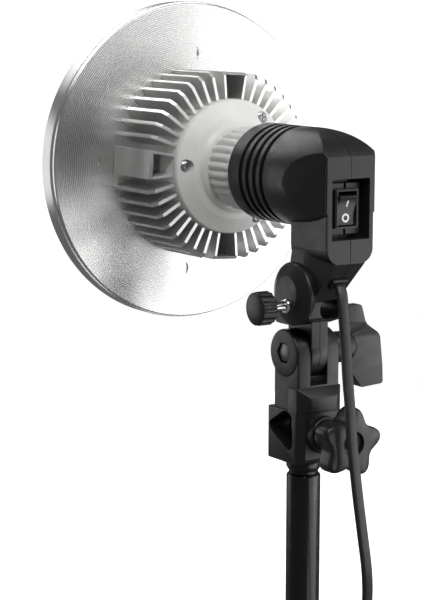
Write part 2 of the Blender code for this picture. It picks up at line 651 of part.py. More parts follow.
def make_star_clamp():
    at = (0, 0, STAR_Z)
    disc("star_pad", 2.6, STUD_R + GAP, 9.6, "Y", at, "bright_metal", 16)
    disc("star_screw", 3.0, 9.9, 38.0, "Y", at, "bright_metal", 20)
    knob = extruded("star_knob", star_outline(), "Y", 34.0, 45.0, "black_plastic", at)
    join(knob, disc("star_hub", 9.0, 22.6, 36.0, "Y", at))
    cut(
        knob,
        disc("star_bore", 3.0 + GAP, 20.0, 38.0 + GAP, "Y", at),
        disc("cap_recess", 6.7, 43.0, 50.0, "Y", at),
    )
    turned("star_cap", [(0, 44.9), (4.5, 44.7), (6.2, 43.9), (6.2, 43.3), (0, 43.3)], "Y", at, "black_plastic", 24)


def make_riser():
    turned("stud", [
        (0, -36.3), (STUD_R - 0.8, -36.3), (STUD_R, -37.2), (STUD_R, BLOCK_BOTTOM - GAP), (9.1, BLOCK_BOTTOM - GAP),
        (9.6, -61.6), (9.6, -65.4), (8.8, -66.6), (8.2, -67.0), (8.2, -68.6), (7.6, -68.9), (7.6, -92.0), (0, -92.0),
    ], "Z", finish="stand_paint", steps=24)
    turned("riser_tube", [
        (TUBE_R - 1.0, TUBE_TOP), (TUBE_R, TUBE_TOP - 1.2), (TUBE_R, FLOOR + 2.3), (TUBE_R - 1.5, FLOOR + 2.3),
        (TUBE_R - 1.5, TUBE_TOP),
    ], "Z", finish="stand_paint", steps=24)
    turned("riser_plug", [
        (0, FLOOR), (TUBE_R, FLOOR), (TUBE_R, FLOOR + 2.0), (TUBE_R - 1.8, FLOOR + 2.0), (TUBE_R - 1.8, FLOOR + 16), (0, FLOOR + 16),
    ], "Z", finish="black_plastic")


# ---------------------------------------------------------------- cord


def make_cord():
    cord_tube("cord_drop", CORD_ROUTE, "cord")
    turned("cord_coil", [
        (COIL_OUT - 2, COIL_HALF), (COIL_OUT, COIL_HALF - 2), (COIL_OUT, 2 - COIL_HALF), (COIL_OUT - 2, -COIL_HALF),
        (COIL_IN + 2, -COIL_HALF), (COIL_IN, 2 - COIL_HALF), (COIL_IN, COIL_HALF - 2), (COIL_IN + 2, COIL_HALF),
    ], "Y", (COIL_X, 0, COIL_Z), "cord", 32)
    cord_tube("cord_tail", TAIL_ROUTE, "cord")
    x, y, _ = TAIL_ROUTE[-1]
    plug = extruded("plug_body", rectangle(x - 6.5, x + 6.5, y - 9.0, y + 9.0, 4.0), "Z", PLUG_TOP - 30, PLUG_TOP - 8, "cord")
    join(plug, disc("plug_neck", 4.2, PLUG_TOP - 12, PLUG_TOP, "Z", (x, y, 0)))
    for number, side in enumerate((-1, 1), 1):
        disc(f"plug_pin_{number}", 2.0, PLUG_TOP - 30 - 17, PLUG_TOP - 30 - GAP, "Z", (x, y + side * 6.0, 0), "bright_metal", 12)
    half_height, thick = 8.0, 1.6
    near = COIL_X + math.sqrt(COIL_IN**2 - half_height**2) - 0.4
    strap_inner = strap_outline(0.4, near)
    strap_outer = strap_outline(0.4 + thick, near - thick)
    extruded("coil_strap", [strap_outer, strap_inner], "Z", COIL_Z - half_height, COIL_Z + half_height, "strap")


def strap_outline(clearance, near):
    """Round the riser and round the near side of the coil."""
    half = COIL_HALF + clearance + 0.4
    reach = TUBE_R + clearance
    arc = [(reach * math.cos(a), reach * math.sin(a)) for a in span(-math.pi / 2, math.pi / 2, 13)]
    return [*arc, (COIL_X + COIL_OUT, half), (near + 3, half), (near, half - 3), (near, 3 - half), (near + 3, -half), (COIL_X + COIL_OUT, -half)]


make_lamp()
make_holder()
make_socket()
make_switch()
make_umbrella_screw()
make_gland()
make_bracket()
make_tilt_clamp()
make_star_clamp()
make_riser()
make_cord()
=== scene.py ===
"""Looks of the LED studio lamp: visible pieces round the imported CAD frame, materials, light and camera.

Geometry helpers take millimetres from the tilt axis, as part.py does, with the lamp facing -Y.
"""

import json
import math

import bmesh
import bpy
from mathutils import Matrix, Vector

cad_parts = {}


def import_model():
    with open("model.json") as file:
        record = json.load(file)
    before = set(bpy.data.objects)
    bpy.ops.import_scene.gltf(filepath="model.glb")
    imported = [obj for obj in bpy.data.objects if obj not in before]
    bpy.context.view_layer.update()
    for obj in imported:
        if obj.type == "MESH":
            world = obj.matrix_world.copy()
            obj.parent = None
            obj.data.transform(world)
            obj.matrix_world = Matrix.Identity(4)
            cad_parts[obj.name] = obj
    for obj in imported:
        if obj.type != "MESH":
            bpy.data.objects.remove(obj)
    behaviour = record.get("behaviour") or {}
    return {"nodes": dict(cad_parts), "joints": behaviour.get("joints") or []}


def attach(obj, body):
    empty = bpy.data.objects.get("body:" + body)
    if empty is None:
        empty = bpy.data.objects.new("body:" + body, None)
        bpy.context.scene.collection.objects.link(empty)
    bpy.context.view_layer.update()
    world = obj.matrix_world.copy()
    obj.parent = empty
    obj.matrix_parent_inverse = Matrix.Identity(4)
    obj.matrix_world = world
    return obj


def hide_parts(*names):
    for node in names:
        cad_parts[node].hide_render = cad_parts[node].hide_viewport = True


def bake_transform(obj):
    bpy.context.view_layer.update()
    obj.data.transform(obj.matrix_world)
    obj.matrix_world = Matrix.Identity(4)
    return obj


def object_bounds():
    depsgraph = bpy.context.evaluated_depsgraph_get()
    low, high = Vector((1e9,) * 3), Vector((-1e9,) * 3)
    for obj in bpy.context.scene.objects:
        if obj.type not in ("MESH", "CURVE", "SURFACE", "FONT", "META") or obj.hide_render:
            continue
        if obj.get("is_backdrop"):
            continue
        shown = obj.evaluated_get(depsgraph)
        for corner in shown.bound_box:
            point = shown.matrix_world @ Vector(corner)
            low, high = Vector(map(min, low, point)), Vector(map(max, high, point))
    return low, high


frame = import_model()
CAD_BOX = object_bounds()

MM = 0.001
JOINTS = {joint["name"]: joint for joint in frame["joints"]}
TILT_Z = JOINTS["head_tilt"]["pos_m"][2] / MM
LAMP_Z = 96.5
LAMP_AXIS = (0, 0, LAMP_Z)
CLOCKING = 3.3
FLOOR = -TILT_Z

# Camera, from the tilt axis
CAMERA_AZIMUTH, CAMERA_ELEVATION, CAMERA_ROLL = 147.03, 8.97, 0.12
CAMERA_TARGET = (43.0, -27.9, 28.23)
CAMERA_DISTANCE = 1068.8
CAMERA_LENS = 116.5

# Holder
PLATE_Y = 40.6
BARREL_R, BARREL_FRONT = 27.3, -37.0
GROOVES, GROOVE_HALF = (-24.3, -17.7, -11.1, -4.5), 1.6
DOME_START, DOME_END_R = 8.0, 22.5
SIDE_X, BOX_X, BOX_FRONT, BOX_BOTTOM = 15.7, 14.9, 7.0, 53.0
NECK_X, TONGUE_X, TONGUE_R = 14.7, 5.4, 14.5
NECK_TOP_X, NECK_SLANT = 9.7, 0.26
NECK_SIDE_START, NECK_SIDE_END = 18.6, 40.5
ROOF_END_R = 13.8
UMBRELLA_Z = 26.4
SCREW_Y, SCREW_Z = 11.0, 28.3
BOSS_Z, BOSS_R, BOSS_FACE_R, BOSS_FACE_X = 34.5, 17.3, 10.0, 20.6
SWITCH_Z, LEDGE_Y, PIVOT_Y = 82.2, 34.8, 33.0
SWITCH_HALF_X, SWITCH_HALF_Z = 7.5, 10.5
ROCKER_REST, ROCKER_HALF_X, ROCKER_HALF_Z = -12.0, 5.95, 8.0
ROCKER_FACE, ROCKER_HOLLOW = 3.4, 1.6
SHELL_GAP = 0.12
SHELL_SCREWS = ((12.5, 57.0), (33.5, 57.0), (16.0, 42.0))
SLOPE_X, SLOPE_Y, SLOPE_Z = 2.1, 32.41, 41.9
SLOPE_ANGLE = math.atan2(12.4, 17.0)

# Stand bracket
EAR_X, EAR_R = 14.2, 13.3
BLOCK_X, BLOCK_Y, BLOCK_TOP, BLOCK_BOTTOM, WEDGE_Y = 15.0, 13.7, -31.0, -60.7, 18.7
BOLT_R = 3.0
STAR_Z, STAR_LOBES, STAR_TURN = -44.0, 5, math.radians(98.7)
STAR_INNER_R, STAR_LOBE_R, STAR_ROUND_R = 14.0, 5.6, 19.2
STUD_R, TUBE_R, TUBE_TOP = 8.0, 9.5, -68.9

# Lamp
PAN_R, PAN_BACK, PAN_FRONT = 92.8, -116.2, -129.6
LANCE_R, LANCE_ARC = 64.0, math.radians(38)
COVER_R, COVER_Y, HUB_BACK = 38.8, -72.3, -90.0
COVER_SCREW_R, COVER_SCREW_SEAT = 33.5, -70.9
COLLAR_BACK, COLLAR_FRONT = -34.3, -64.0
SCALLOPS, SCALLOP_DEPTH = 28, 1.5
THREAD_R, THREAD_DEPTH, THREAD_PITCH = 12.35, 0.55, 3.63

# Cord
CORD_WIDTH, CORD_THICK, CORD_LENGTH = 6.4, 3.9, 1.8
CORD_SPACING, CORD_TWIST = 3.0, 34
BLEND_START, BLEND_END = (2.1, 34.4, 39.8), (4.6, 45.4, -4.0)
COIL_X, COIL_Z = -50.0, -205.0
COIL_INNER, COIL_OUTER, COIL_PITCH = 33.2, 37.4, 6.6
COIL_IN, COIL_HALF = 31.2, 13.2
VISIBLE_ROUTE = [
    (2.1, 33.9, 40.8), (2.1, 35.1, 39.4), (2.3, 36.6, 36.8), (2.8, 38.3, 32.0), (3.3, 40.3, 22.0),
    (3.7, 42.8, 8.0), (5.0, 46.4, -7.8), (6.6, 51.0, -23.5), (6.6, 52.9, -39.5),
    (5.3, 54.2, -55.8), (3.6, 55.2, -72.0), (0.6, 55.6, -92.0), (-3.4, 54.4, -112.0),
    (-7.4, 50.2, -129.0), (-9.6, 45.4, -144.0), (-11.2, 36.8, -158.0), (-12.0, 24.6, -169.0),
    (-12.4, 13.6, -179.0), (-12.6, 6.6, -189.0), (-12.6, 3.7, -198.0),
]
TAIL_ROUTE = [
    (-12.7, -3.3, -216.0), (-13.0, -3.5, -227.0), (-14.2, -4.4, -236.0), (-16.6, -5.7, -245.0),
    (-17.7, -6.2, -251.0), (-17.8, -6.2, -256.0),
]
PLUG_AT = (-17.8, -6.2)
PLUG_TOP = -254.6

# Stage and light. A soft box has a name, azimuth, elevation, distance, size and power, in degrees and metres.
STAGE_R, STAGE_COVE, STAGE_TOP, STAGE_SEGMENTS = 3000, 1200, 4200, 64
WORLD_STRENGTH = 0.13
LIGHT_AIM = (0, 0, 30)
SOFT_BOXES = [
    ("key_box", 238, 3, 1.5, (1.25, 0.9), 8.0),
    ("upper_box", 208, 46, 1.5, (1.0, 0.8), 6.5),
    ("floor_board", 212, -24, 0.80, (0.9, 0.45), 2.2),
    ("left_box", 32, 0, 1.5, (1.0, 0.8), 3.0),
    ("camera_box", 150, 50, 1.7, (0.8, 0.7), 12.0),
    ("front_box", 5, 42, 2.2, (1.8, 1.2), 14.0),
]

# Where a mesh's own X, Y and Z go: for a solid turned about an axis, and for an outline seen along one
TURN_AXES = {
    "X": ((0, 1, 0), (0, 0, 1), (1, 0, 0)),
    "-X": ((0, 0, 1), (0, 1, 0), (-1, 0, 0)),
    "Y": ((0, 0, 1), (1, 0, 0), (0, 1, 0)),
    "Z": ((1, 0, 0), (0, 1, 0), (0, 0, 1)),
}
SECTION_AXES = {
    "X": ((0, 1, 0), (0, 0, 1), (1, 0, 0)),
    "Y": ((1, 0, 0), (0, 0, 1), (0, -1, 0)),
    "Z": ((1, 0, 0), (0, 1, 0), (0, 0, 1)),
}


# ---------------------------------------------------------------- mesh helpers


def world(point):
    """Metres in the frame from millimetres from the tilt axis."""
    return Vector((point[0], point[1], point[2] + TILT_Z)) * MM


def placement(columns, at):
    """The matrix with these columns at a point given from the tilt axis."""
    return Matrix.Translation(world(at)) @ Matrix(columns).transposed().to_4x4()


def place(name, mesh, columns, at):
    obj = bpy.data.objects.new(name, mesh)
    obj.matrix_world = placement(columns, at)
    bpy.context.scene.collection.objects.link(obj)
    return obj


def span(low, high, count):
    """Evenly spaced values, both ends included."""
    return [low + (high - low) * k / (count - 1) for k in range(count)]


def smoothstep(t):
    t = min(1.0, max(0.0, t))
    return t * t * (3 - 2 * t)


def rounded(corners, steps=6):
    """An outline of (x, y) or (x, y, radius) corners, with arcs for the radii."""
    points = []
    count = len(corners)
    for i, corner in enumerate(corners):
        here = Vector(corner[:2])
        radius = corner[2] if len(corner) > 2 else 0
        if not radius:
            points.append(tuple(here))
            continue
        back = (Vector(corners[i - 1][:2]) - here).normalized()
        ahead = (Vector(corners[(i + 1) % count][:2]) - here).normalized()
        half = back.angle(ahead) / 2
        middle = here + (back + ahead).normalized() * (radius / math.sin(half))
        start = here + back * (radius / math.tan(half)) - middle
        sweep = (math.pi - 2 * half) * (1 if back.x * ahead.y - back.y * ahead.x < 0 else -1)
        for k in range(steps + 1):
            points.append(tuple(middle + Matrix.Rotation(sweep * k / steps, 2) @ start))
    return points


def rectangle(x0, x1, y0, y1, radius=0.0, steps=5):
    return rounded([(x0, y0, radius), (x1, y0, radius), (x1, y1, radius), (x0, y1, radius)], steps)


def polar(radius, angle):
    return radius * math.cos(angle), radius * math.sin(angle)


def circle(radius, height, segments):
    """A ring of points at a height, or the one point on the axis if the radius is 0."""
    if radius == 0:
        return [(0, 0, height)]
    return [(*polar(radius, math.tau * k / segments), height) for k in range(segments)]


def lofted(name, rings, axis, at, closed=False):
    """A skin over rings of (x, y, height) points, all with one count. A ring of one point is a pole."""
    work = bmesh.new()
    rows = [[work.verts.new(Vector(p) * MM) for p in ring] for ring in rings]
    for low, high in zip(rows, rows[1:] + (rows[:1] if closed else [])):
        count = max(len(low), len(high))
        for k in range(count):
            corners = [low[k % len(low)], low[(k + 1) % len(low)]]
            corners += [high[(k + 1) % len(high)], high[k % len(high)]]
            work.faces.new(list(dict.fromkeys(corners)))
    bmesh.ops.recalc_face_normals(work, faces=work.faces)
    mesh = bpy.data.meshes.new(name)
    work.to_mesh(mesh)
    work.free()
    return place(name, mesh, TURN_AXES[axis], at)


def turned(name, profile, axis, at=(0, 0, 0), segments=96):
    """A turned solid from a closed (radius, height) profile. It is a ring if no point is on the axis."""
    points = list(profile)
    on_axis = [i for i, (radius, _) in enumerate(points) if radius == 0]
    if on_axis:
        count = len(points)
        first = next(i for i in on_axis if points[(i + 1) % count][0] > 0)
        points = points[first:] + points[:first]
        points = points[: next(i for i in range(1, count) if points[i][0] == 0) + 1]
    rings = [circle(radius, height, segments) for radius, height in points]
    return lofted(name, rings, axis, at, closed=not on_axis)


def disc(name, radius, low, high, axis, at=(0, 0, 0), segments=48):
    return turned(name, [(0, high), (radius, high), (radius, low), (0, low)], axis, at, segments)


def tube(name, outer, inner, low, high, axis, at=(0, 0, 0), segments=96):
    return turned(name, [(outer, high), (outer, low), (inner, low), (inner, high)], axis, at, segments)


def evaluated(obj):
    """The object's mesh with its modifiers applied."""
    bpy.context.view_layer.update()
    graph = bpy.context.evaluated_depsgraph_get()
    return bpy.data.meshes.new_from_object(obj.evaluated_get(graph), depsgraph=graph)


def extruded(name, outlines, axis, low, high, at=(0, 0, 0)):
    """A flat outline, or an outline and its holes, extruded from low to high along an axis."""
    outlines = outlines if isinstance(outlines[0], list) else [outlines]
    curve = bpy.data.curves.new(name, "CURVE")
    curve.dimensions = "2D"
    curve.fill_mode = "BOTH"
    curve.extrude = (high - low) / 2 * MM
    for outline in outlines:
        spline = curve.splines.new("POLY")
        spline.points.add(len(outline) - 1)
        spline.use_cyclic_u = True
        for point, (x, y) in zip(spline.points, outline):
            point.co = (x * MM, y * MM, 0, 1)
    sketch = bpy.data.objects.new(name, curve)
    bpy.context.scene.collection.objects.link(sketch)
    mesh = evaluated(sketch)
    bpy.data.objects.remove(sketch)
    work = bmesh.new()
    work.from_mesh(mesh)
    bmesh.ops.remove_doubles(work, verts=work.verts, dist=1e-6)
    bmesh.ops.dissolve_limit(work, angle_limit=math.radians(0.5), verts=work.verts, edges=work.edges)
    bmesh.ops.recalc_face_normals(work, faces=work.faces)
    work.to_mesh(mesh)
    work.free()
    middle = list(at)
    middle["XYZ".index(axis)] += (low + high) / 2
    return place(name, mesh, SECTION_AXES[axis], middle)


def block(name, low, high):
    """A box between two corners."""
    mesh = bpy.data.meshes.new(name)
    work = bmesh.new()
    bmesh.ops.create_cube(work, size=1.0)
    bmesh.ops.scale(work, vec=Vector([h - l for l, h in zip(low, high)]) * MM, verts=work.verts)
    work.to_mesh(mesh)
    work.free()
    return place(name, mesh, TURN_AXES["Z"], [(l + h) / 2 for l, h in zip(low, high)])


def combine(target, operation, others):
    """Applies Booleans at once, and removes what they used."""
    for other in others:
        modifier = target.modifiers.new("shape", "BOOLEAN")
        modifier.operation = operation
        modifier.object = other
    mesh = evaluated(target)
    target.modifiers.clear()
    target.data = mesh
    for other in others:
        bpy.data.objects.remove(other)
    return target


def cut(target, *others):
    return combine(target, "DIFFERENCE", others)


def join(target, *others):
    return combine(target, "UNION", others)


def keep(target, *others):
    return combine(target, "INTERSECT", others)


def rounding(obj, width, segments=3, angle=30):
    """Rounded edges, as a modifier."""
    modifier = obj.modifiers.new("edges", "BEVEL")
    modifier.width = width * MM
    modifier.segments = segments
    modifier.limit_method = "ANGLE"
    modifier.angle_limit = math.radians(angle)
    return obj


def shade(obj, angle=35):
    obj.data.shade_smooth()
    obj.data.set_sharp_from_angle(angle=math.radians(angle))
    return obj


def piece(obj, body, material, slot, *nodes, angle=35):
    """Finishes a piece: its material, its body and the CAD nodes that it stands for. Its slot is not used."""
    if obj.type == "MESH":
        shade(obj, angle)
    obj.data.materials.clear()
    obj.data.materials.append(material)
    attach(obj, body)
    if nodes:
        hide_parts(*nodes)
    return obj


# ---------------------------------------------------------------- materials


def new_material(name, color, roughness, metallic=0.0, **sockets):
    material = bpy.data.materials.new(name)
    material.use_nodes = True
    shader = material.node_tree.nodes["Principled BSDF"]
    values = {"Base Color": (*color, 1.0), "Roughness": roughness, "Metallic": metallic}
    values.update({key.replace("_", " "): value for key, value in sockets.items()})
    for socket, value in values.items():
        shader.inputs[socket].default_value = value
    return material


def add(material, kind, **settings):
    """A node. A setting is the value of the socket of that name, or else the node's own property."""
    node = material.node_tree.nodes.new(kind)
    for key, value in settings.items():
        socket = key.replace("_", " ")
        if socket in node.inputs.keys():
            node.inputs[socket].default_value = value
        else:
            setattr(node, key, value)
    return node


def wire(material, source, target):
    material.node_tree.links.new(source, target)


def noise(material, scale, detail=3.0, stretch=None):
    """A noise in the object's own metres, so a scale of 1000 has grains a millimetre across."""
    coordinates = add(material, "ShaderNodeTexCoord")
    texture = add(material, "ShaderNodeTexNoise", Scale=scale, Detail=detail)
    if stretch:
        mapping = add(material, "ShaderNodeMapping", Scale=stretch)
        wire(material, coordinates.outputs["Object"], mapping.inputs["Vector"])
        wire(material, mapping.outputs["Vector"], texture.inputs["Vector"])
    else:
        wire(material, coordinates.outputs["Object"], texture.inputs["Vector"])
    return texture.outputs["Fac"]


def remap(material, value, low, high):
    """Spreads a texture's usual range, 0.3 to 0.7, over low to high."""
    node = add(material, "ShaderNodeMapRange", From_Min=0.3, From_Max=0.7, To_Min=low, To_Max=high)
    wire(material, value, node.inputs["Value"])
    return node.outputs["Result"]


def shader_of(material):
    return material.node_tree.nodes["Principled BSDF"]


def vary_color(material, color, spread, scale):
    mix = add(material, "ShaderNodeMix", data_type="RGBA")
    for socket, gain in ((mix.inputs[6], 1 - spread), (mix.inputs[7], 1 + spread)):
        socket.default_value = (*[min(1.0, c * gain) for c in color], 1.0)
    wire(material, remap(material, noise(material, scale, 2.0), 0.0, 1.0), mix.inputs[0])
    wire(material, mix.outputs[2], shader_of(material).inputs["Base Color"])


def vary_roughness(material, roughness, spread, scale):
    value = remap(material, noise(material, scale, 4.0), roughness - spread, roughness + spread)
    wire(material, value, shader_of(material).inputs["Roughness"])


def surface(material, height, strength, distance, edge=0.0):
    """Bump from a height, over edges rounded by a few tenths of a millimetre."""
    bump = add(material, "ShaderNodeBump", Strength=strength, Distance=distance * MM)
    wire(material, height, bump.inputs["Height"])
    if edge:
        bevel = add(material, "ShaderNodeBevel", samples=4, Radius=edge * MM)
        wire(material, bevel.outputs["Normal"], bump.inputs["Normal"])
    wire(material, bump.outputs["Normal"], shader_of(material).inputs["Normal"])


def plastic(name, color, roughness, grain=2200, depth=0.05, strength=0.25, edge=0.35, spread=0.08):
    """Moulded plastic: fine spark texture, slight patches of gloss, softened edges."""
    material = new_material(name, color, roughness)
    vary_color(material, color, spread, 60)
    vary_roughness(material, roughness, 0.05, 140)
    surface(material, noise(material, grain, 2.0), strength, depth, edge)
    return material


def metal(name, color, roughness, grain=900, stretch=(1, 1, 1), strength=0.2):
    """Bare metal: a fine grain, which can be stretched along an axis, and slight patches of gloss."""
    material = new_material(name, color, roughness, 1.0)
    vary_color(material, color, 0.05, 80)
    vary_roughness(material, roughness, 0.05, 120)
    surface(material, noise(material, grain, 4.0, stretch), strength, 0.03, 0.2)
    return material


def turned_metal(name, color, roughness, rings, depth, anisotropy):
    """Metal with fine rings round the object's own Z, which draw its highlights out into spokes."""
    material = new_material(name, color, roughness, 1.0, Anisotropic=anisotropy, Anisotropic_Rotation=0.25)
    vary_color(material, color, 0.03, 45)
    coordinates = add(material, "ShaderNodeTexCoord")
    wave = add(material, "ShaderNodeTexWave", wave_type="RINGS", rings_direction="Z", Scale=rings)
    wire(material, coordinates.outputs["Object"], wave.inputs["Vector"])
    tangent = add(material, "ShaderNodeTangent", direction_type="RADIAL", axis="Z")
    wire(material, tangent.outputs["Tangent"], shader_of(material).inputs["Tangent"])
    value = remap(material, wave.outputs["Fac"], roughness - 0.04, roughness + 0.04)
    wire(material, value, shader_of(material).inputs["Roughness"])
    surface(material, wave.outputs["Fac"], 0.12, depth)
    return material


SHELL = plastic("shell_plastic", (0.014, 0.014, 0.0145), 0.36, strength=0.3, edge=0.55)
BRACKET = plastic("bracket_plastic", (0.010, 0.010, 0.0105), 0.38, strength=0.3, edge=0.5)
KNOB = plastic("knob_plastic", (0.014, 0.014, 0.015), 0.34, strength=0.2, edge=0.5)
SWITCH = plastic("switch_plastic", (0.022, 0.022, 0.022), 0.30, strength=0.1, edge=0.25)
ROCKER = plastic("rocker_plastic", (0.020, 0.020, 0.021), 0.28, strength=0.06, edge=0.3)
MARK = plastic("mark_paint", (0.88, 0.88, 0.86), 0.5, strength=0.05, edge=0.0)
WHITE = plastic("white_plastic", (0.83, 0.83, 0.81), 0.32, 1500, strength=0.05, edge=0.4, spread=0.02)
DIFFUSER = plastic("diffuser_plastic", (0.90, 0.90, 0.88), 0.45, grain=1800, strength=0.12, spread=0.02)
SOCKET = plastic("socket_plastic", (0.025, 0.025, 0.025), 0.55)
PAN = turned_metal("pan_aluminium", (0.86, 0.86, 0.85), 0.30, 260, 0.0012, 0.82)
FINS = metal("fin_aluminium", (0.93, 0.93, 0.92), 0.42, 700, (1, 0.05, 1), strength=0.25)
NICKEL = metal("nickel", (0.78, 0.77, 0.74), 0.18)
CHROME = metal("chrome", (0.86, 0.86, 0.87), 0.10, strength=0.05)
BRASS = metal("brass", (0.72, 0.52, 0.22), 0.28)
STEEL = metal("black_steel", (0.14, 0.14, 0.14), 0.38, strength=0.4)
SCREW_STEEL = metal("zinc_steel", (0.42, 0.42, 0.42), 0.32, strength=0.3)
BOARD = plastic("led_board_paint", (0.88, 0.88, 0.85), 0.5)
CIRCUIT = plastic("circuit_board", (0.04, 0.17, 0.07), 0.45)
STAND = plastic("stand_paint", (0.006, 0.006, 0.007), 0.25, grain=500, depth=0.02, strength=0.1)
CORD = plastic("cord_sheath", (0.020, 0.020, 0.021), 0.42, grain=1200, strength=0.15, edge=0.0)
PLUG = plastic("plug_rubber", (0.022, 0.022, 0.023), 0.5, strength=0.3)


def strap_material():
    """Woven hook-and-loop tape, from two crossed waves."""
    material = new_material("strap_weave", (0.03, 0.03, 0.034), 0.9, Sheen_Weight=0.3)
    vary_color(material, (0.03, 0.03, 0.034), 0.25, 300)
    coordinates = add(material, "ShaderNodeTexCoord")
    heights = []
    for across in ("X", "Z"):
        wave = add(material, "ShaderNodeTexWave", wave_type="BANDS", bands_direction=across, Scale=260)
        wire(material, coordinates.outputs["Object"], wave.inputs["Vector"])
        heights.append(wave.outputs["Fac"])
    product = add(material, "ShaderNodeMath", operation="MULTIPLY")
    for k, height in enumerate(heights):
        wire(material, height, product.inputs[k])
    surface(material, product.outputs["Value"], 0.5, 0.3)
    return material


STRAP = strap_material()


# ---------------------------------------------------------------- camera, light and stage


def direction(azimuth, elevation):
    """The way out from the lamp, in degrees: azimuth 0 is -Y and 90 is +X."""
    a, e = math.radians(azimuth), math.radians(elevation)
    return Vector((math.sin(a) * math.cos(e), -math.cos(a) * math.cos(e), math.sin(e)))


def make_camera():
    back = direction(CAMERA_AZIMUTH, CAMERA_ELEVATION)
    data = bpy.data.cameras.new("camera")
    data.lens = CAMERA_LENS
    camera = bpy.data.objects.new("camera", data)
    bpy.context.scene.collection.objects.link(camera)
    turn = back.to_track_quat("Z", "Y").to_matrix() @ Matrix.Rotation(math.radians(CAMERA_ROLL), 3, "Z")
    place_at = world(CAMERA_TARGET) + back * CAMERA_DISTANCE * MM
    camera.matrix_world = Matrix.Translation(place_at) @ turn.to_4x4()
    bpy.context.scene.camera = camera


def area_light(name, azimuth, elevation, distance, size, power):
    """A soft box that faces the lamp's holder."""
    out = direction(azimuth, elevation)
    data = bpy.data.lights.new(name, "AREA")
    data.shape = "RECTANGLE"
    data.size, data.size_y = size
    data.energy = power
    light = bpy.data.objects.new(name, data)
    bpy.context.scene.collection.objects.link(light)
    turn = out.to_track_quat("Z", "Y").to_matrix().to_4x4()
    light.matrix_world = Matrix.Translation(world(LIGHT_AIM) + out * distance) @ turn


def make_stage():
    """A pale floor that curves up into a wall all round, and soft boxes."""
    stage = new_material("stage", (0.8, 0.8, 0.8), 0.9, Emission_Color=(1, 1, 1, 1), Emission_Strength=1.0)
    drop = 2.0
    profile = [(0, -drop), (STAGE_R, -drop)]
    for a in span(0.0, math.pi / 2, 14):
        profile.append((STAGE_R + STAGE_COVE * math.sin(a), STAGE_COVE - drop - STAGE_COVE * math.cos(a)))
    profile += [(STAGE_R + STAGE_COVE, STAGE_TOP)]
    rings = [circle(radius, FLOOR + height, STAGE_SEGMENTS) for radius, height in profile]
    floor = lofted("stage_floor", rings, "Z", (0, 0, 0))
    floor.data.shade_smooth()
    floor.data.materials.append(stage)
    floor.visible_diffuse = False
    floor.visible_glossy = False
    floor.visible_shadow = False
    floor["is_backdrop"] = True
    for soft_box in SOFT_BOXES:
        area_light(*soft_box)
    world_data = bpy.data.worlds.new("studio")
    bpy.context.scene.world = world_data
    world_data.use_nodes = True
    background = world_data.node_tree.nodes["Background"]
    background.inputs["Color"].default_value = (1, 1, 1, 1)
    background.inputs["Strength"].default_value = WORLD_STRENGTH
    bpy.context.scene.view_settings.view_transform = "Standard"


# ---------------------------------------------------------------- cord


def through(points, spacing):
    """Points along a smooth curve through a route."""
    route = [Vector(p) for p in points]
    ends = [route[0] * 2 - route[1]] + route + [route[-1] * 2 - route[-2]]
    smooth = []
    for a, b, c, d in zip(ends, ends[1:], ends[2:], ends[3:]):
        steps = max(1, round((c - b).length / spacing))
        for k in range(steps):
            t = k / steps
            start, end = (c - a) / 2, (d - b) / 2
            smooth.append(
                b * (2 * t**3 - 3 * t**2 + 1) + start * (t**3 - 2 * t**2 + t)
                + c * (3 * t**2 - 2 * t**3) + end * (t**3 - t**2)
            )
    return smooth + [route[-1]]


# Each turn of the coil: its first slot, its last slot, and the shares of the turn between which it moves.
# A slot is (radius, place along Y), and a turn moves only into a slot that no other turn is in.
LEVELS = [(1.5 - k) * COIL_PITCH for k in range(4)]
TURNS = [
    ((COIL_OUTER, LEVELS[1]), (COIL_OUTER, LEVELS[0]), 0.80, 0.96),
    ((COIL_OUTER, LEVELS[0]), (COIL_INNER, LEVELS[0]), 0.64, 0.80),
    ((COIL_INNER, LEVELS[0]), (COIL_INNER, LEVELS[1]), 0.46, 0.62),
    ((COIL_INNER, LEVELS[1]), (COIL_INNER, LEVELS[2]), 0.46, 0.62),
    ((COIL_INNER, LEVELS[2]), (COIL_INNER, LEVELS[3]), 0.46, 0.62),
    ((COIL_INNER, LEVELS[3]), (COIL_OUTER, LEVELS[3]), 0.28, 0.44),
    ((COIL_OUTER, LEVELS[3]), (COIL_OUTER, LEVELS[2]), 0.10, 0.26),
]


def coil_points(steps=36):
    points = []
    for first, last, begin, end in TURNS:
        for k in range(steps):
            t = k / steps
            share = smoothstep((t - begin) / (end - begin))
            radius = first[0] + (last[0] - first[0]) * share
            y = first[1] + (last[1] - first[1]) * share
            x, z = polar(radius, -math.tau * t)
            points.append(Vector((COIL_X + x, y, COIL_Z + z)))
    return points + [Vector((COIL_X + COIL_OUTER, LEVELS[2], COIL_Z))]


def cord_section(count=20):
    """Two round cores side by side in one sheath, with a shallow waist between them."""
    core = CORD_THICK / 2
    reach = CORD_WIDTH / 2 - core
    outline = []
    for k in range(count):
        angle = math.tau * (k + 0.5) / count
        side = 1 if math.cos(angle) > 0 else -1
        x, y = core * math.cos(angle) + side * reach, core * math.sin(angle)
        waist = 0.42 * math.exp(-((x / 0.95) ** 2))
        outline.append((x, y * (1 - waist)))
    return outline


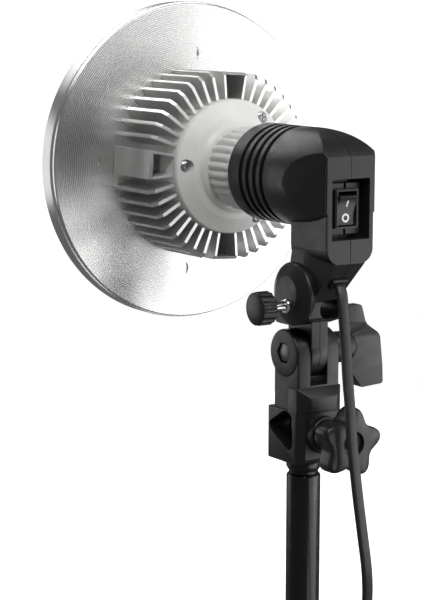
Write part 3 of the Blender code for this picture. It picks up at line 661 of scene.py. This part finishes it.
def make_cord():
    """One skin along the drop, the coil and the tail. Its wide side turns from X to Y above the coil."""
    drop = through(VISIBLE_ROUTE, CORD_SPACING)
    path = drop + coil_points() + through(TAIL_ROUTE, CORD_SPACING)
    twist_from = len(drop) - CORD_TWIST
    rings = []
    section = cord_section()
    for i, point in enumerate(path):
        along = (path[min(i + 1, len(path) - 1)] - path[max(i - 1, 0)]).normalized()
        share = smoothstep((i - twist_from) / CORD_TWIST)
        wide = Vector((1, 0, 0)).lerp(Vector((0, 1, 0)), share)
        wide = (wide - along * wide.dot(along)).normalized()
        thin = along.cross(wide)
        rings.append([tuple(point + wide * x + thin * y) for x, y in section])
    rings = [[tuple(path[0])]] + rings + [[tuple(path[-1])]]
    cord = lofted("flat_cord", rings, "Z", (0, 0, 0))
    cord.data.shade_smooth()
    cord.data.materials.append(CORD)
    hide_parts("cord_drop", "cord_coil", "cord_tail")
    world(BLEND_START)
    world(BLEND_END)
    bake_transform(cord)
    metres = [world(p) for p in path]
    length = sum((b - a).length for a, b in zip(metres, metres[1:]))
    riders = [*make_plug(), make_strap()]
    print(f"cord centreline: {length:.3f} m")


def make_plug():
    """A flat two-pin plug that hangs from the tail: tapered neck with grip rings, pins part sleeved."""
    x, y = PLUG_AT
    body_top, body_low = PLUG_TOP - 8, PLUG_TOP - 30
    sections = [
        (0, 3.4, 2.5), (-1.2, 3.9, 2.9), (-6.5, 4.2, 3.3), (-9.0, 6.4, 4.6), (-12, 8.4, 5.8),
        (-16, 8.9, 6.4), (-27, 9.0, 6.5), (-29, 8.8, 6.3), (-30, 8.0, 5.5),
    ]
    rings = [[(x, y, PLUG_TOP)]]
    for drop, half_y, half_x in sections:
        outline = rectangle(-half_x, half_x, -half_y, half_y, min(half_x, half_y) * 0.7)
        rings.append([(x + a, y + b, PLUG_TOP + drop) for a, b in outline])
    rings.append([(x, y, body_low)])
    body = lofted("plug_moulding", rings, "Z", (0, 0, 0))
    grips = []
    for side in (-1, 1):
        middle = x + side * 6.7
        for k in range(4):
            low = (middle - 0.6, y - 6, body_top - 5 - 3 * k)
            high = (middle + 0.6, y + 6, body_top - 3.6 - 3 * k)
            grips.append(block(f"grip_{side}_{k}", low, high))
    cut(body, *grips)
    made = [piece(body, "bracket", PLUG, "plug_plastic", "plug_body")]
    for number, side in enumerate((-1, 1), 1):
        at = (x, y + side * 6.0, 0)
        tip = body_low - 17
        pin = turned(f"pin_metal_{number}", [
            (0, body_low - 0.3), (1.9, body_low - 0.3), (1.9, tip + 1.0), (1.4, tip + 0.2),
            (0.6, tip), (0, tip),
        ], "Z", at, 24)
        made.append(piece(pin, "bracket", NICKEL, "plug_pins", f"plug_pin_{number}"))
        sleeve = tube(f"pin_sleeve_{number}", 2.0, 1.9, body_low - 8.5, body_low - 0.3, "Z", at, 24)
        made.append(piece(sleeve, "bracket", PLUG, "plug_plastic"))
    return made


def strap_outline(clearance, near):
    """A loop round the riser and out to the near side of the coil's turns."""
    half = COIL_HALF + clearance + 0.4
    reach = TUBE_R + clearance
    arc = [polar(reach, a) for a in span(-math.pi / 2, math.pi / 2, 25)]
    corner = 3.0
    end = COIL_X + 39.4
    straight = rounded([(end, half), (near, half, corner), (near, -half, corner), (end, -half)])
    return arc + straight


def make_strap():
    half_height, thick = 8.0, 1.6
    near = COIL_X + math.sqrt(COIL_IN**2 - half_height**2) - 0.4
    strap = extruded("strap_band", [
        strap_outline(0.4 + thick, near - thick), strap_outline(0.5, near),
    ], "Z", COIL_Z - half_height, COIL_Z + half_height)
    rounding(strap, 0.4, 2)
    return piece(strap, "bracket", STRAP, "strap_fabric", "coil_strap")


# ---------------------------------------------------------------- lamp


def lance_marks():
    """Cutters for the four short arcs lanced into the pan's back."""
    outer = [polar(6.0, a) for a in span(-LANCE_ARC, LANCE_ARC, 13)]
    inner = [(x - 1.5 * math.cos(math.atan2(y, x) * 2), y) for x, y in reversed(outer[1:-1])]
    arc = [(5.0 - x, y) for x, y in outer + inner]
    for k in range(4):
        x, z = polar(LANCE_R, math.radians(CLOCKING + 90 * k))
        outline = [(x + a, LAMP_Z + z + b) for a, b in arc]
        yield extruded(f"lance_{k}", outline, "Y", PAN_BACK - 1.0, PAN_BACK + 1.0)


def make_pan():
    pan = turned("pan_shell", rounded([
        (0, PAN_BACK), (PAN_R, PAN_BACK, 0.8), (PAN_R + 0.1, PAN_BACK - 2.0), (PAN_R - 0.5, PAN_BACK - 2.4),
        (PAN_R - 0.5, PAN_BACK - 3.0), (PAN_R + 1.0, PAN_BACK - 3.4, 0.5), (PAN_R + 1.0, PAN_FRONT, 0.8),
        (PAN_R - 1.0, PAN_FRONT, 0.6), (PAN_R - 1.2, PAN_BACK - 3.4), (PAN_R - 3.0, PAN_BACK - 1.8),
        (0, PAN_BACK - 1.8),
    ], 4), "Y", LAMP_AXIS, 192)
    cut(pan, *lance_marks())
    piece(pan, "lamp", PAN, "pan_aluminium", "led_pan", angle=25)
    lens = turned("diffuser_lens", rounded([
        (0, PAN_FRONT + 0.4), (70, PAN_FRONT + 0.7), (PAN_R - 1.7, PAN_FRONT + 1.8, 0.6),
        (PAN_R - 1.7, PAN_FRONT + 4.0), (0, PAN_FRONT + 3.4),
    ]), "Y", LAMP_AXIS, 192)
    piece(lens, "lamp", DIFFUSER, "diffuser", "front_diffuser")


def cover_screw_sites():
    """The number and the place of each screw in the rear cover."""
    for number in (1, 2, 3):
        angle = math.radians(CLOCKING + 120 * (number - 1))
        x, z = polar(COVER_SCREW_R, angle)
        yield number, (x, 0, LAMP_Z + z)


def phillips(name, radius, top, bottom, axis, at):
    """A pan head with a cross recess."""
    height = top - bottom
    head = turned(name, [
        (0, top), (radius * 0.45, top - height * 0.06), (radius * 0.8, top - height * 0.3),
        (radius, top - height * 0.7), (radius, bottom), (0, bottom),
    ], axis, at, 32)
    slots = []
    slot_low, slot_high = top - height * 0.75, top + 1
    for k, (wide, tall) in enumerate(((0.62, 0.13), (0.13, 0.62))):
        low = (-radius * wide, -radius * tall, slot_low)
        slot = block(f"{name}_slot_{k}", low, (radius * wide, radius * tall, slot_high))
        lift = Matrix.Translation((0, 0, (slot_high + slot_low) / 2 * MM))
        slot.matrix_world = placement(TURN_AXES[axis], at) @ lift
        slots.append(slot)
    return cut(head, *slots)


def make_cover():
    cover = turned("cover_shell", rounded([
        (0, -64.2), (24.4, -64.2, 0.6), (26.4, -66.4, 1.0), (30.0, -67.4, 0.8),
        (COVER_R - 0.6, -71.9, 0.8), (COVER_R, -73.4, 0.4), (COVER_R, HUB_BACK + 0.3),
        (COVER_R - 1.8, HUB_BACK + 0.3), (COVER_R - 1.8, COVER_Y - 2.3), (29, -71.6), (0, -71.6),
    ], 5), "Y", LAMP_AXIS, 144)
    sites = list(cover_screw_sites())
    bores = [disc(f"bore_{number}", 3.7, COVER_SCREW_SEAT, -60, "Y", at, 40) for number, at in sites]
    bores += [disc(f"shank_{number}", 1.7, -76, -70, "Y", at, 20) for number, at in sites]
    cut(cover, *bores)
    piece(cover, "lamp", WHITE, "white_plastic", "rear_cover", angle=25)
    for number, at in sites:
        head = phillips(f"cover_screw_head_{number}", 3.1, -69.2, -70.7, "Y", at)
        piece(head, "lamp", SCREW_STEEL, "dark_steel", f"cover_screw_{number}")


def make_collar():
    """The turned collar has shallow scallops round it, which fade out at both ends."""
    profile = rounded([
        (17.0, COLLAR_BACK, 0.6), (17.0, -41.2, 0.8), (20.6, -42.2, 1.2), (23.9, -45.0, 1.8),
        (24.1, -59.4, 1.4), (22.6, -61.6, 0.6), (22.6, COLLAR_FRONT), (0, COLLAR_FRONT), (0, COLLAR_BACK),
    ], 6)[:-2]
    segments = SCALLOPS * 10
    rings = [[(0, 0, COLLAR_BACK)]]
    for radius, y in profile:
        middle = smoothstep((radius - 19.5) / 3.0) * smoothstep((-43.0 - y) / 2.0)
        ring = []
        for k in range(segments):
            wave = abs(math.sin(math.pi * SCALLOPS * k / segments))
            depth = SCALLOP_DEPTH * middle * (1 - wave)
            ring.append((*polar(radius - depth, math.tau * k / segments), y))
        rings.append(ring)
    rings.append([(0, 0, COLLAR_FRONT)])
    collar = lofted("collar_turned", rings, "Y", LAMP_AXIS)
    piece(collar, "lamp", WHITE, "white_plastic", "neck_collar", angle=50)


def make_cap():
    """The screw cap's rolled thread, as rings of a smooth wave."""
    wave = [
        (THREAD_R + THREAD_DEPTH * math.cos(math.tau * (y + 33.0) / THREAD_PITCH), y)
        for y in span(-32.5, -17.8, 66)
    ]
    profile = [(0, -34.0), (12.9, -34.0), *wave, (11.6, -16.6), (9.0, -14.4), (0, -14.4)]
    cap = turned("cap_thread", profile, "Y", LAMP_AXIS)
    piece(cap, "lamp", NICKEL, "nickel_contacts", "screw_cap", angle=60)


# ---------------------------------------------------------------- holder


def dome_radius(y, end_r):
    """An ellipse that leaves the barrel flush and is down to end_r at the rear plate."""
    length = (PLATE_Y - DOME_START) / math.sqrt(1 - (end_r / BARREL_R) ** 2)
    return BARREL_R * math.sqrt(max(0.0, 1 - ((y - DOME_START) / length) ** 2))


def holder_body():
    """The grooved barrel and its dome, cut lower on top and narrower in plan towards the rear plate."""
    half, floor_r = GROOVE_HALF, BARREL_R - 1.7
    grooves = [
        point
        for y in GROOVES
        for point in rounded([
            (BARREL_R, y - half, 0.35), (floor_r, y - half), (floor_r, y + half),
            (BARREL_R, y + half, 0.35), (BARREL_R, y + 2.5),
        ], 3)[:-1]
    ]
    dome = [(dome_radius(y, DOME_END_R), y) for y in span(DOME_START, PLATE_Y, 24)]
    rim = rounded([(0, BARREL_FRONT), (BARREL_R, BARREL_FRONT, 1.0), (BARREL_R, BARREL_FRONT + 5)], 5)[1:-1]
    profile = [(0, BARREL_FRONT), *rim, *grooves, *dome, (0, PLATE_Y)]
    body = turned("holder_form", profile, "Y", LAMP_AXIS, 160)
    far = 60.0
    roof = [(y, LAMP_Z + dome_radius(y, ROOF_END_R)) for y in span(DOME_START, PLATE_Y, 24)]
    low, high = LAMP_Z - 40, LAMP_Z + 28
    roof_form = [(-far, low), (far, low), (far, roof[-1][1]), *roof[::-1], (-far, high)]
    plan = [
        (-SIDE_X, PLATE_Y + 1), (-SIDE_X, PLATE_Y), (-26.4, 17.4), (-29, 12), (-29, -far),
        (29, -far), (29, 12), (26.4, 17.4), (SIDE_X, PLATE_Y), (SIDE_X, PLATE_Y + 1),
    ]
    roof_cut = extruded("roof_form", roof_form, "X", -40, 40)
    return keep(body, roof_cut, extruded("side_form", plan, "Z", 30, 150))


def box_form():
    """The box under the dome, with its lower corners rounded from behind and from the side."""
    box = extruded("box_form", rounded([
        (-BOX_X, BOX_BOTTOM, 8.0), (BOX_X, BOX_BOTTOM, 8.0), (BOX_X, SWITCH_Z - 1.5),
        (-BOX_X, SWITCH_Z - 1.5),
    ], 8), "Y", BOX_FRONT, PLATE_Y)
    side = extruded("box_side", rounded([
        (BOX_FRONT - 1, 100), (BOX_FRONT, BOX_BOTTOM - 0.5, 6.0), (60, BOX_BOTTOM - 0.5), (60, 100),
    ], 8), "X", -30, 30)
    return keep(box, side)


def neck_forms():
    """The solids below the box: neck, umbrella hole's body, web, tongue, clamp boss and screw post."""
    lower_rear = SLOPE_Y - (SLOPE_Z - 31.0) * math.tan(SLOPE_ANGLE)
    upper_rear = SLOPE_Y + (BOX_BOTTOM - SLOPE_Z) * math.tan(SLOPE_ANGLE)
    neck = extruded("neck_form", rounded([
        (BOX_FRONT + 1, BOX_BOTTOM + 6), (BOX_FRONT - 1, BOX_BOTTOM - 3, 2), (-4, 40, 3), (-6, 31),
        (lower_rear, 31), (upper_rear, BOX_BOTTOM), (upper_rear, BOX_BOTTOM + 6),
    ], 5), "X", -NECK_TOP_X, NECK_X)
    for vertex in neck.data.vertices:
        if vertex.co.z < 0:
            vertex.co.z += (BOX_BOTTOM * MM - vertex.co.y) * NECK_SLANT
    cut(neck, extruded("neck_side", [
        (NECK_X + 0.05, NECK_SIDE_START), (NECK_X + 10, NECK_SIDE_START), (NECK_X + 10, 45),
        (NECK_TOP_X, 45), (NECK_TOP_X, NECK_SIDE_END),
    ], "Z", 25, 65))
    bracket = extruded("bracket_form", rounded([
        (-8, 36, 2), (-8, 16.5, 3), (9, 16.5, 2), (lower_rear - 0.6, 21.5, 2), (lower_rear - 0.6, 36),
    ], 5), "X", -10.4, NECK_X + 0.05)
    web = block("web_form", (-TONGUE_X, -8, 2), (TONGUE_X, 14.0, 20))
    tongue = turned("tongue_form", rounded([
        (0, -TONGUE_X), (TONGUE_R, -TONGUE_X, 0.7), (TONGUE_R, TONGUE_X, 0.7), (0, TONGUE_X),
    ], 3), "X", (0, 0, 0), 96)
    boss = turned("boss_form", rounded([
        (0, BOSS_FACE_X), (BOSS_FACE_R, BOSS_FACE_X, 2.5), (BOSS_R - 0.6, 17.0, 3.0), (BOSS_R, 16.0, 0.5),
        (BOSS_R, NECK_X + 0.7, 0.3), (BOSS_R - 2, 12), (0, 12),
    ], 6), "X", (0, SCREW_Y, BOSS_Z), 96)
    post_y, post_z = SHELL_SCREWS[-1]
    post = disc("screw_post", 4.6, -NECK_X, 0, "X", (0, post_y, post_z), 48)
    return [neck, bracket, web, tongue, boss, post]


def holder_cutters():
    bore = turned("barrel_bore", [
        (0, -40), (24.9, -40), (24.7, 4.0), (20.0, 8.0), (14.0, 20.0), (11.0, 28.0), (0, 28.0),
    ], "Y", LAMP_AXIS, 128)
    cavity = block("wiring_cavity", (-11.8, 11.0, 60.0), (11.8, 28.0, 93.0))
    recess = extruded("switch_recess", rectangle(-12.35, 12.35, 66.0, 98.4, 0.6, 3), "Y", 31.0, PLATE_Y + 2)
    hole = rectangle(-7.25, 7.25, UMBRELLA_Z - 5.45, UMBRELLA_Z + 5.45, 5.3, 10)
    umbrella = extruded("umbrella_hole", hole, "Y", -12, 40)
    screw = disc("screw_hole", 3.1, 3.0, 24.0, "X", (0, SCREW_Y, SCREW_Z), 32)
    pocket = block("gland_pocket", (-5.3, -5.0, -3.6), (5.3, 3.0, 3.6))
    lean = Matrix.Rotation(-SLOPE_ANGLE, 4, "X")
    on_slope = Matrix.Translation(world((SLOPE_X, SLOPE_Y, SLOPE_Z))) @ lean
    pocket.matrix_world = on_slope @ Matrix.Translation((0, -1.0 * MM, 0))
    return [bore, cavity, recess, umbrella, screw, pocket]


def slot_cutters():
    """The ring grooves open right through the barrel in its upper half."""
    cutters = []
    for k, y in enumerate(GROOVES):
        low, high = y - GROOVE_HALF + 0.15, y + GROOVE_HALF - 0.15
        ring = tube(f"slot_{k}", 28.6, 24.2, low, high, "Y", LAMP_AXIS, 128)
        keep(ring, block("upper_half", (-40, y - 4, LAMP_Z + 2.5), (40, y + 4, LAMP_Z + 26.2)))
        cutters.append(ring)
    return cutters


def shell_openings():
    """Cutters for the switch's window, its two catches and the three screws."""
    openings = [block("switch_window", (-7.2, 26.0, SWITCH_Z - 10.2), (7.2, LEDGE_Y + 1, SWITCH_Z + 10.2))]
    for side in (-1, 1):
        z = SWITCH_Z + side * 12.4
        openings.append(block(f"notch_{side}", (-0.7, 33.4, z - 1.6), (0.7, LEDGE_Y + 1, z + 1.6)))
    for number, (y, z) in enumerate(SHELL_SCREWS, 1):
        openings.append(disc(f"screw_way_{number}", 1.7, -20, 8.0, "X", (0, y, z), 16))
        openings.append(disc(f"screw_seat_{number}", 3.2, -20, -12.4, "X", (0, y, z), 32))
    return openings


def split_shell(body, name, node, low, high):
    """One half of the holder, between two values of X."""
    shell = bpy.data.objects.new(name, body.data.copy())
    bpy.context.scene.collection.objects.link(shell)
    shell.matrix_world = body.matrix_world
    keep(shell, block("side", (low, -80, -40), (high, 80, 160)))
    cut(shell, disc("bolt_hole", BOLT_R + 0.3, -20, 20, "X"))
    piece(shell, "head", SHELL, "holder_shell", node, angle=28)


def make_shells():
    body = join(holder_body(), box_form(), *neck_forms())
    cut(body, *holder_cutters())
    join(body, block("switch_frame", (-10.0, 30.0, SWITCH_Z - 13.7), (10.0, LEDGE_Y, SWITCH_Z + 13.7)))
    cut(body, *shell_openings())
    cut(body, *slot_cutters())
    cut(body, *[
        block(f"plate_line_{side}", (low, 39.0, BOX_BOTTOM + 4), (high, 39.5, 106))
        for side, low, high in ((-1, -18, -14.5), (1, 14.5, 18))
    ])
    split_shell(body, "shell_skin_left", "shell_left", SHELL_GAP, 40)
    split_shell(body, "shell_skin_right", "shell_right", -40, -SHELL_GAP)
    bpy.data.objects.remove(body)
    for number, (y, z) in enumerate(SHELL_SCREWS, 1):
        head = phillips(f"shell_screw_head_{number}", 2.8, 14.2, 12.7, "-X", (0, y, z))
        piece(head, "head", STEEL, "dark_steel", f"shell_screw_{number}")


def rocker_hollow(height):
    """How far the rocker's face stands out above its middle, at a height above the pivot."""
    return ROCKER_HOLLOW * (height / ROCKER_HALF_Z) ** 2


def switch_outline(shrink, radius):
    half_x, half_z = SWITCH_HALF_X - shrink, SWITCH_HALF_Z - shrink
    return rectangle(-half_x, half_x, SWITCH_Z - half_z, SWITCH_Z + half_z, radius)


def make_switch():
    """A snap-in rocker switch: stepped bezel, hollow rocker face, printed marks."""
    bezel = extruded("switch_bezel", switch_outline(0, 0.7), "Y", LEDGE_Y + 0.2, 37.0)
    rim = extruded("switch_rim", switch_outline(0.5, 0.6), "Y", 36.5, 37.5)
    body = block("switch_case", (-6.9, 18.0, SWITCH_Z - 9.9), (6.9, LEDGE_Y + 1.0, SWITCH_Z + 9.9))
    join(bezel, rim, body)
    cut(bezel, block("rocker_well", (-6.2, 28.0, SWITCH_Z - 9.4), (6.2, 40.0, SWITCH_Z + 9.4)))
    piece(bezel, "head", SWITCH, "switch_plastic", "switch_body")
    face = [(ROCKER_FACE + rocker_hollow(z), z) for z in span(ROCKER_HALF_Z, -ROCKER_HALF_Z, 17)]
    back = [(2.0, -8.1), (0.2, -7.4), (-2.6, -4.0), (-2.6, 4.0), (0.2, 7.4), (2.0, 8.1)]
    tilt = Matrix.Rotation(math.radians(ROCKER_REST), 2)
    outline = [tuple(tilt @ Vector(p)) for p in face + back]
    rocker = extruded("rocker_cap", outline, "X", -ROCKER_HALF_X, ROCKER_HALF_X, (0, PIVOT_Y, SWITCH_Z))
    rounding(rocker, 0.3, 2, 45)
    piece(rocker, "rocker", ROCKER, "rocker_plastic", "rocker", angle=30)
    make_mark("on_mark", [rectangle(-0.5, 0.5, 1.9, 5.5)])
    outer = [polar(2.35, -math.tau * k / 40) for k in range(40)]
    inner = [polar(1.35, math.tau * k / 40) for k in range(40)]
    make_mark("off_mark", [[(x, z - 4.2) for x, z in loop] for loop in (outer, inner)])


def make_mark(name, outlines):
    """A printed mark, a twentieth of a millimetre proud of the rocker's hollow face."""
    mark = extruded(name, outlines, "Y", -0.05, 0.05)
    work = bmesh.new()
    work.from_mesh(mark.data)
    for _ in range(3):
        bmesh.ops.subdivide_edges(work, edges=[e for e in work.edges if e.calc_length() > 0.6 * MM], cuts=1)
    tilt = Matrix.Rotation(math.radians(ROCKER_REST), 4, "X")
    base = mark.matrix_world.copy()
    for vertex in work.verts:
        point = base @ vertex.co - world((0, 0, 0))
        proud = ROCKER_FACE + 0.05 + rocker_hollow(point.z / MM)
        vertex.co = tilt @ Vector((point.x, (proud + point.y / MM) * MM, point.z))
    work.to_mesh(mark.data)
    work.free()
    mark.matrix_world = Matrix.Translation(world((0, PIVOT_Y, SWITCH_Z)))
    piece(mark, "rocker", MARK, "rocker_plastic")


def fluted(name, radius, depth, flutes, profile, axis, at, fade):
    """A turned knob with flutes round it. The profile's radii are shares of the knob's radius."""
    segments = flutes * 10
    rings = []
    for share, height in profile:
        if share == 0:
            rings.append([(0, 0, height)])
            continue
        ring = []
        for k in range(segments):
            share_in = (k / 10) % 1.0
            flute = smoothstep((share_in - 0.08) / 0.2) - smoothstep((share_in - 0.62) / 0.2)
            dip = depth * flute * fade(height)
            ring.append((*polar(radius * share - dip, math.tau * k / segments), height))
        rings.append(ring)
    return lofted(name, rings, axis, at)


def thumb_fade(x):
    """The flutes run out just before both ends of the knob."""
    return smoothstep((40.6 - x) / 0.9) * smoothstep((x - 31.9) / 0.4)


def make_thumb_screw():
    """A fluted knob on a screw, which turns in a bush fixed in the boss."""
    at = (0, SCREW_Y, SCREW_Z)
    dome = [(math.cos(a), 40.2 + 1.9 * math.sin(a)) for a in span(math.radians(2), math.radians(86), 10)]
    profile = [(0, 31.8), (0.90, 31.8), (0.97, 32.1), (1.0, 32.8), (1.0, 36), (1.0, 39.8)]
    profile += [(share * 0.985, height) for share, height in dome] + [(0, 42.1)]
    knob = fluted("thumb_grip", 9.2, 1.0, 15, profile, "X", at, thumb_fade)
    piece(knob, "thumb", KNOB, "knob_plastic", "thumb_knob", angle=50)
    screw = turned("thumb_shank", rounded([
        (0, 31.5), (2.7, 31.5, 0.2), (2.7, 10.1), (0, 10.1),
    ], 4), "X", at, 48)
    piece(screw, "thumb", CHROME, "bright_steel", "thumb_screw", angle=50)
    bush = turned("thumb_bush", rounded([
        (3.0, 22.3), (3.3, 22.3, 0.2), (4.1, 21.2, 0.3), (4.1, 20.7), (3.0, 20.7),
    ], 4), "X", at, 48)
    piece(bush, "head", CHROME, "bright_steel", angle=50)


# ---------------------------------------------------------------- stand bracket and its clamps


def make_bracket():
    """The casting, with its ears, block, wedge, boss and holes, and the tilt bolt."""
    ears = extruded("bracket_casting", rounded([
        (-9.4, BLOCK_TOP - 6), (BLOCK_Y - 0.2, BLOCK_TOP - 6), (BLOCK_Y - 0.2, -4), (BLOCK_Y - 0.2, 0),
        *[polar(EAR_R, a) for a in span(0.0, math.pi, 33)][1:-1],
        (-EAR_R, 0), (-9.4, -8.5),
    ]), "X", -EAR_X + 0.5, EAR_X - 0.5)
    body = block("stand_block", (-BLOCK_X, -BLOCK_Y, BLOCK_BOTTOM), (BLOCK_X, BLOCK_Y, BLOCK_TOP))
    ear_disc = disc("ear_disc", EAR_R - 0.3, -EAR_X, EAR_X, "X", segments=96)
    wedge = extruded("wedge", [
        (5, BLOCK_BOTTOM), (BLOCK_Y, BLOCK_BOTTOM), (WEDGE_Y, BLOCK_BOTTOM + 4.7), (WEDGE_Y, -22.7),
        (BLOCK_Y, -18.0), (5, -18.0),
    ], "X", -15, 15)
    plan = [
        (-14.7, 4), (14.7, 4), (14.7, BLOCK_Y), (8.9, WEDGE_Y), (8.9, 20),
        (-8.9, 20), (-8.9, WEDGE_Y), (-14.7, BLOCK_Y),
    ]
    keep(wedge, extruded("wedge_plan", plan, "Z", -70, -10))
    cut(wedge, block("parting", (-20, 16.9, BLOCK_BOTTOM - 1), (20, 21, -31.2)))
    boss = turned("star_boss", rounded([
        (0, BLOCK_Y - 4), (10.5, BLOCK_Y - 4), (10.5, 22.0, 1.0), (0, 22.0),
    ], 4), "Y", (0, 0, STAR_Z), 64)
    for solid, width in ((ears, 0.7), (ear_disc, 0.8), (body, 0.9), (wedge, 0.5)):
        rounding(solid, width, 3, 38)
    join(ears, ear_disc, body, wedge, boss)
    side_hole = rounded([(-15.0, -42.0, 3.0), (9.8, -55.6, 3.6), (10.5, -26.2, 6.5)], 12)
    cut(
        ears,
        block("clevis_gap", (-5.7, -20, -17.0), (5.7, 30, 20)),
        disc("ear_hole", BOLT_R + 0.3, -20, 20, "X"),
        disc("hex_pocket", 6.2, 9.6, 20, "X", segments=6),
        disc("stud_socket", STUD_R + 0.3, BLOCK_BOTTOM - 2, -36.0, "Z", segments=64),
        disc("star_hole", 3.3, 5.0, 30, "Y", (0, 0, STAR_Z)),
        extruded("side_hole", side_hole, "X", -20, 20),
    )
    piece(ears, "bracket", BRACKET, "bracket_plastic", "stand_bracket", angle=38)
    bolt = disc("clamp_bolt", 5.8, 10.0, 13.4, "X", segments=6)
    rounding(bolt, 0.5, 2)
    join(bolt, disc("bolt_shank", BOLT_R, -27.5, 12.0, "X"))
    piece(bolt, "bracket", STEEL, "dark_steel", "tilt_bolt")


def wing_outline():
    """The blade seen from the rear: an upper tab, a shoulder and a long lower lobe."""
    return rounded([
        (-28.5, -4.0), (-28.5, 23.2, 1.2), (-37.3, 23.2, 2.4), (-41.2, 11.5, 5.0), (-48.3, 6.0, 6.0),
        (-51.3, -22.9, 1.6), (-36.2, -23.8, 1.2), (-28.5, -14.0, 2.0),
    ], 6)


def make_wing():
    hub = turned("wing_grip", rounded([
        (0, -31.0), (7.2, -31.0, 1.5), (8.6, -28.5, 1.0), (9.0, -16.2, 0.8), (5.3, -16.2),
        (5.3, -26.3), (3.3, -26.3), (3.3, -30.0), (0, -30.0),
    ], 5), "X", (0, 0, 0), 64)
    blade = extruded("wing_blade", wing_outline(), "Y", -5.0, 7.0)
    side = extruded("wing_side", rounded([
        (-3.5, -25), (4.6, -25), (5.6, -12, 12), (5.3, 5.5, 5), (1.9, 13.2, 3), (2.4, 24.5),
        (-3.0, 24.5), (-4.0, 4, 6),
    ], 8), "X", -55, -20)
    keep(blade, side)
    rounding(blade, 1.0, 4, 40)
    cut(blade, disc("hub_core", 5.6, -32.0, -10, "X"))
    join(hub, blade)
    piece(hub, "wing", KNOB, "knob_plastic", "wing_knob", angle=40)


def star_radius(angle, size):
    lobe = 0.5 + 0.5 * math.cos(STAR_LOBES * (angle - STAR_TURN))
    return (STAR_INNER_R + STAR_LOBE_R * lobe**1.2) * size


def make_star():
    """A round neck that opens into lobes. A section is a share of the knob's size and a place in Y."""
    at = (0, 0, STAR_Z)
    sections = [
        (0.24, 22.6), (0.46, 22.7), (0.50, 23.4), (0.48, 31.6), (0.56, 33.4), (0.9, 33.9), (0.955, 34.3),
        (0.985, 35.2), (1.0, 36.6), (1.0, 42.6), (0.985, 44.2), (0.955, 45.2), (0.91, 45.7), (0.55, 45.9),
    ]
    segments = 180
    rings = []
    for size, y in sections:
        ring = []
        for k in range(segments):
            angle = math.tau * k / segments
            in_plan = math.pi / 2 - angle
            round_r = STAR_ROUND_R * size
            share = smoothstep((size - 0.5) / 0.35)
            radius = round_r + (star_radius(in_plan, size) - round_r) * share
            ring.append((*polar(radius, angle), y))
        rings.append(ring)
    rings = [[(0, 0, 22.6)]] + rings + [[(0, 0, 45.9)]]
    knob = lofted("star_grip", rings, "Y", at)
    groove = turned("cap_recess", rounded([(0, 43.2), (6.9, 43.2), (7.1, 50), (0, 50)], 2), "Y", at, 96)
    cut(knob, disc("star_bore", 3.3, 20.0, 38.3, "Y", at), groove)
    piece(knob, "star", KNOB, "knob_plastic", "star_knob", angle=45)
    cap = turned("star_button", rounded([
        (0, 45.3), (3.6, 44.9, 1.0), (4.6, 43.9, 0.6), (6.2, 43.8, 0.3), (6.2, 43.3), (0, 43.3),
    ], 4), "Y", at, 64)
    piece(cap, "star", KNOB, "knob_plastic", "star_cap")


def make_riser():
    stud = turned("stud_turned", rounded([
        (0, -36.3), (STUD_R, -36.3, 0.8), (STUD_R, -61.0), (9.0, -61.0, 0.4), (9.7, -62.4, 1.2),
        (9.7, -65.0, 1.4), (8.2, -67.2, 0.8), (8.2, -68.6), (7.6, -68.9), (7.6, -92.0), (0, -92.0),
    ], 6), "Z", (0, 0, 0), 96)
    piece(stud, "riser", STAND, "stand_paint", "stud", angle=40)
    pipe = turned("riser_pipe", rounded([
        (8.0, TUBE_TOP, 0.3), (TUBE_R, TUBE_TOP, 1.4), (TUBE_R, FLOOR + 2.3, 0.3), (8.0, FLOOR + 2.3),
    ], 5), "Z", (0, 0, 0), 96)
    piece(pipe, "riser", STAND, "stand_paint", "riser_tube", angle=40)
    plug = turned("riser_foot", rounded([
        (0, FLOOR), (TUBE_R, FLOOR, 0.6), (TUBE_R, FLOOR + 2.0, 0.4), (TUBE_R - 1.8, FLOOR + 2.0),
        (TUBE_R - 1.8, FLOOR + 16, 0.5), (0, FLOOR + 16),
    ], 4), "Z", (0, 0, 0), 96)
    piece(plug, "riser", KNOB, "end_plug", "riser_plug", angle=40)


CAD_FINISHES = {
    "heat_sink": FINS, "led_board": BOARD, "driver_housing": WHITE, "driver_board": CIRCUIT,
    "cap_insulator": SWITCH, "tip_contact": NICKEL, "socket_body": SOCKET, "socket_sleeve": BRASS,
    "centre_contact": BRASS, "cord_gland": KNOB, "clamp_tip": CHROME, "wing_insert": BRASS,
    "wing_washer": STEEL, "star_screw": CHROME, "star_pad": CHROME,
}


def finish_cad_nodes():
    for name, material in CAD_FINISHES.items():
        node = frame["nodes"][name]
        node.data.materials.clear()
        node.data.materials.append(material)


make_camera()
make_stage()
make_cord()
make_pan()
make_cover()
make_collar()
make_cap()
make_shells()
make_switch()
make_thumb_screw()
make_bracket()
make_wing()
make_star()
make_riser()
finish_cad_nodes()

boxes = {"cad": CAD_BOX, "visual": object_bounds()}
{name: [list(low), list(high)] for name, (low, high) in boxes.items()}
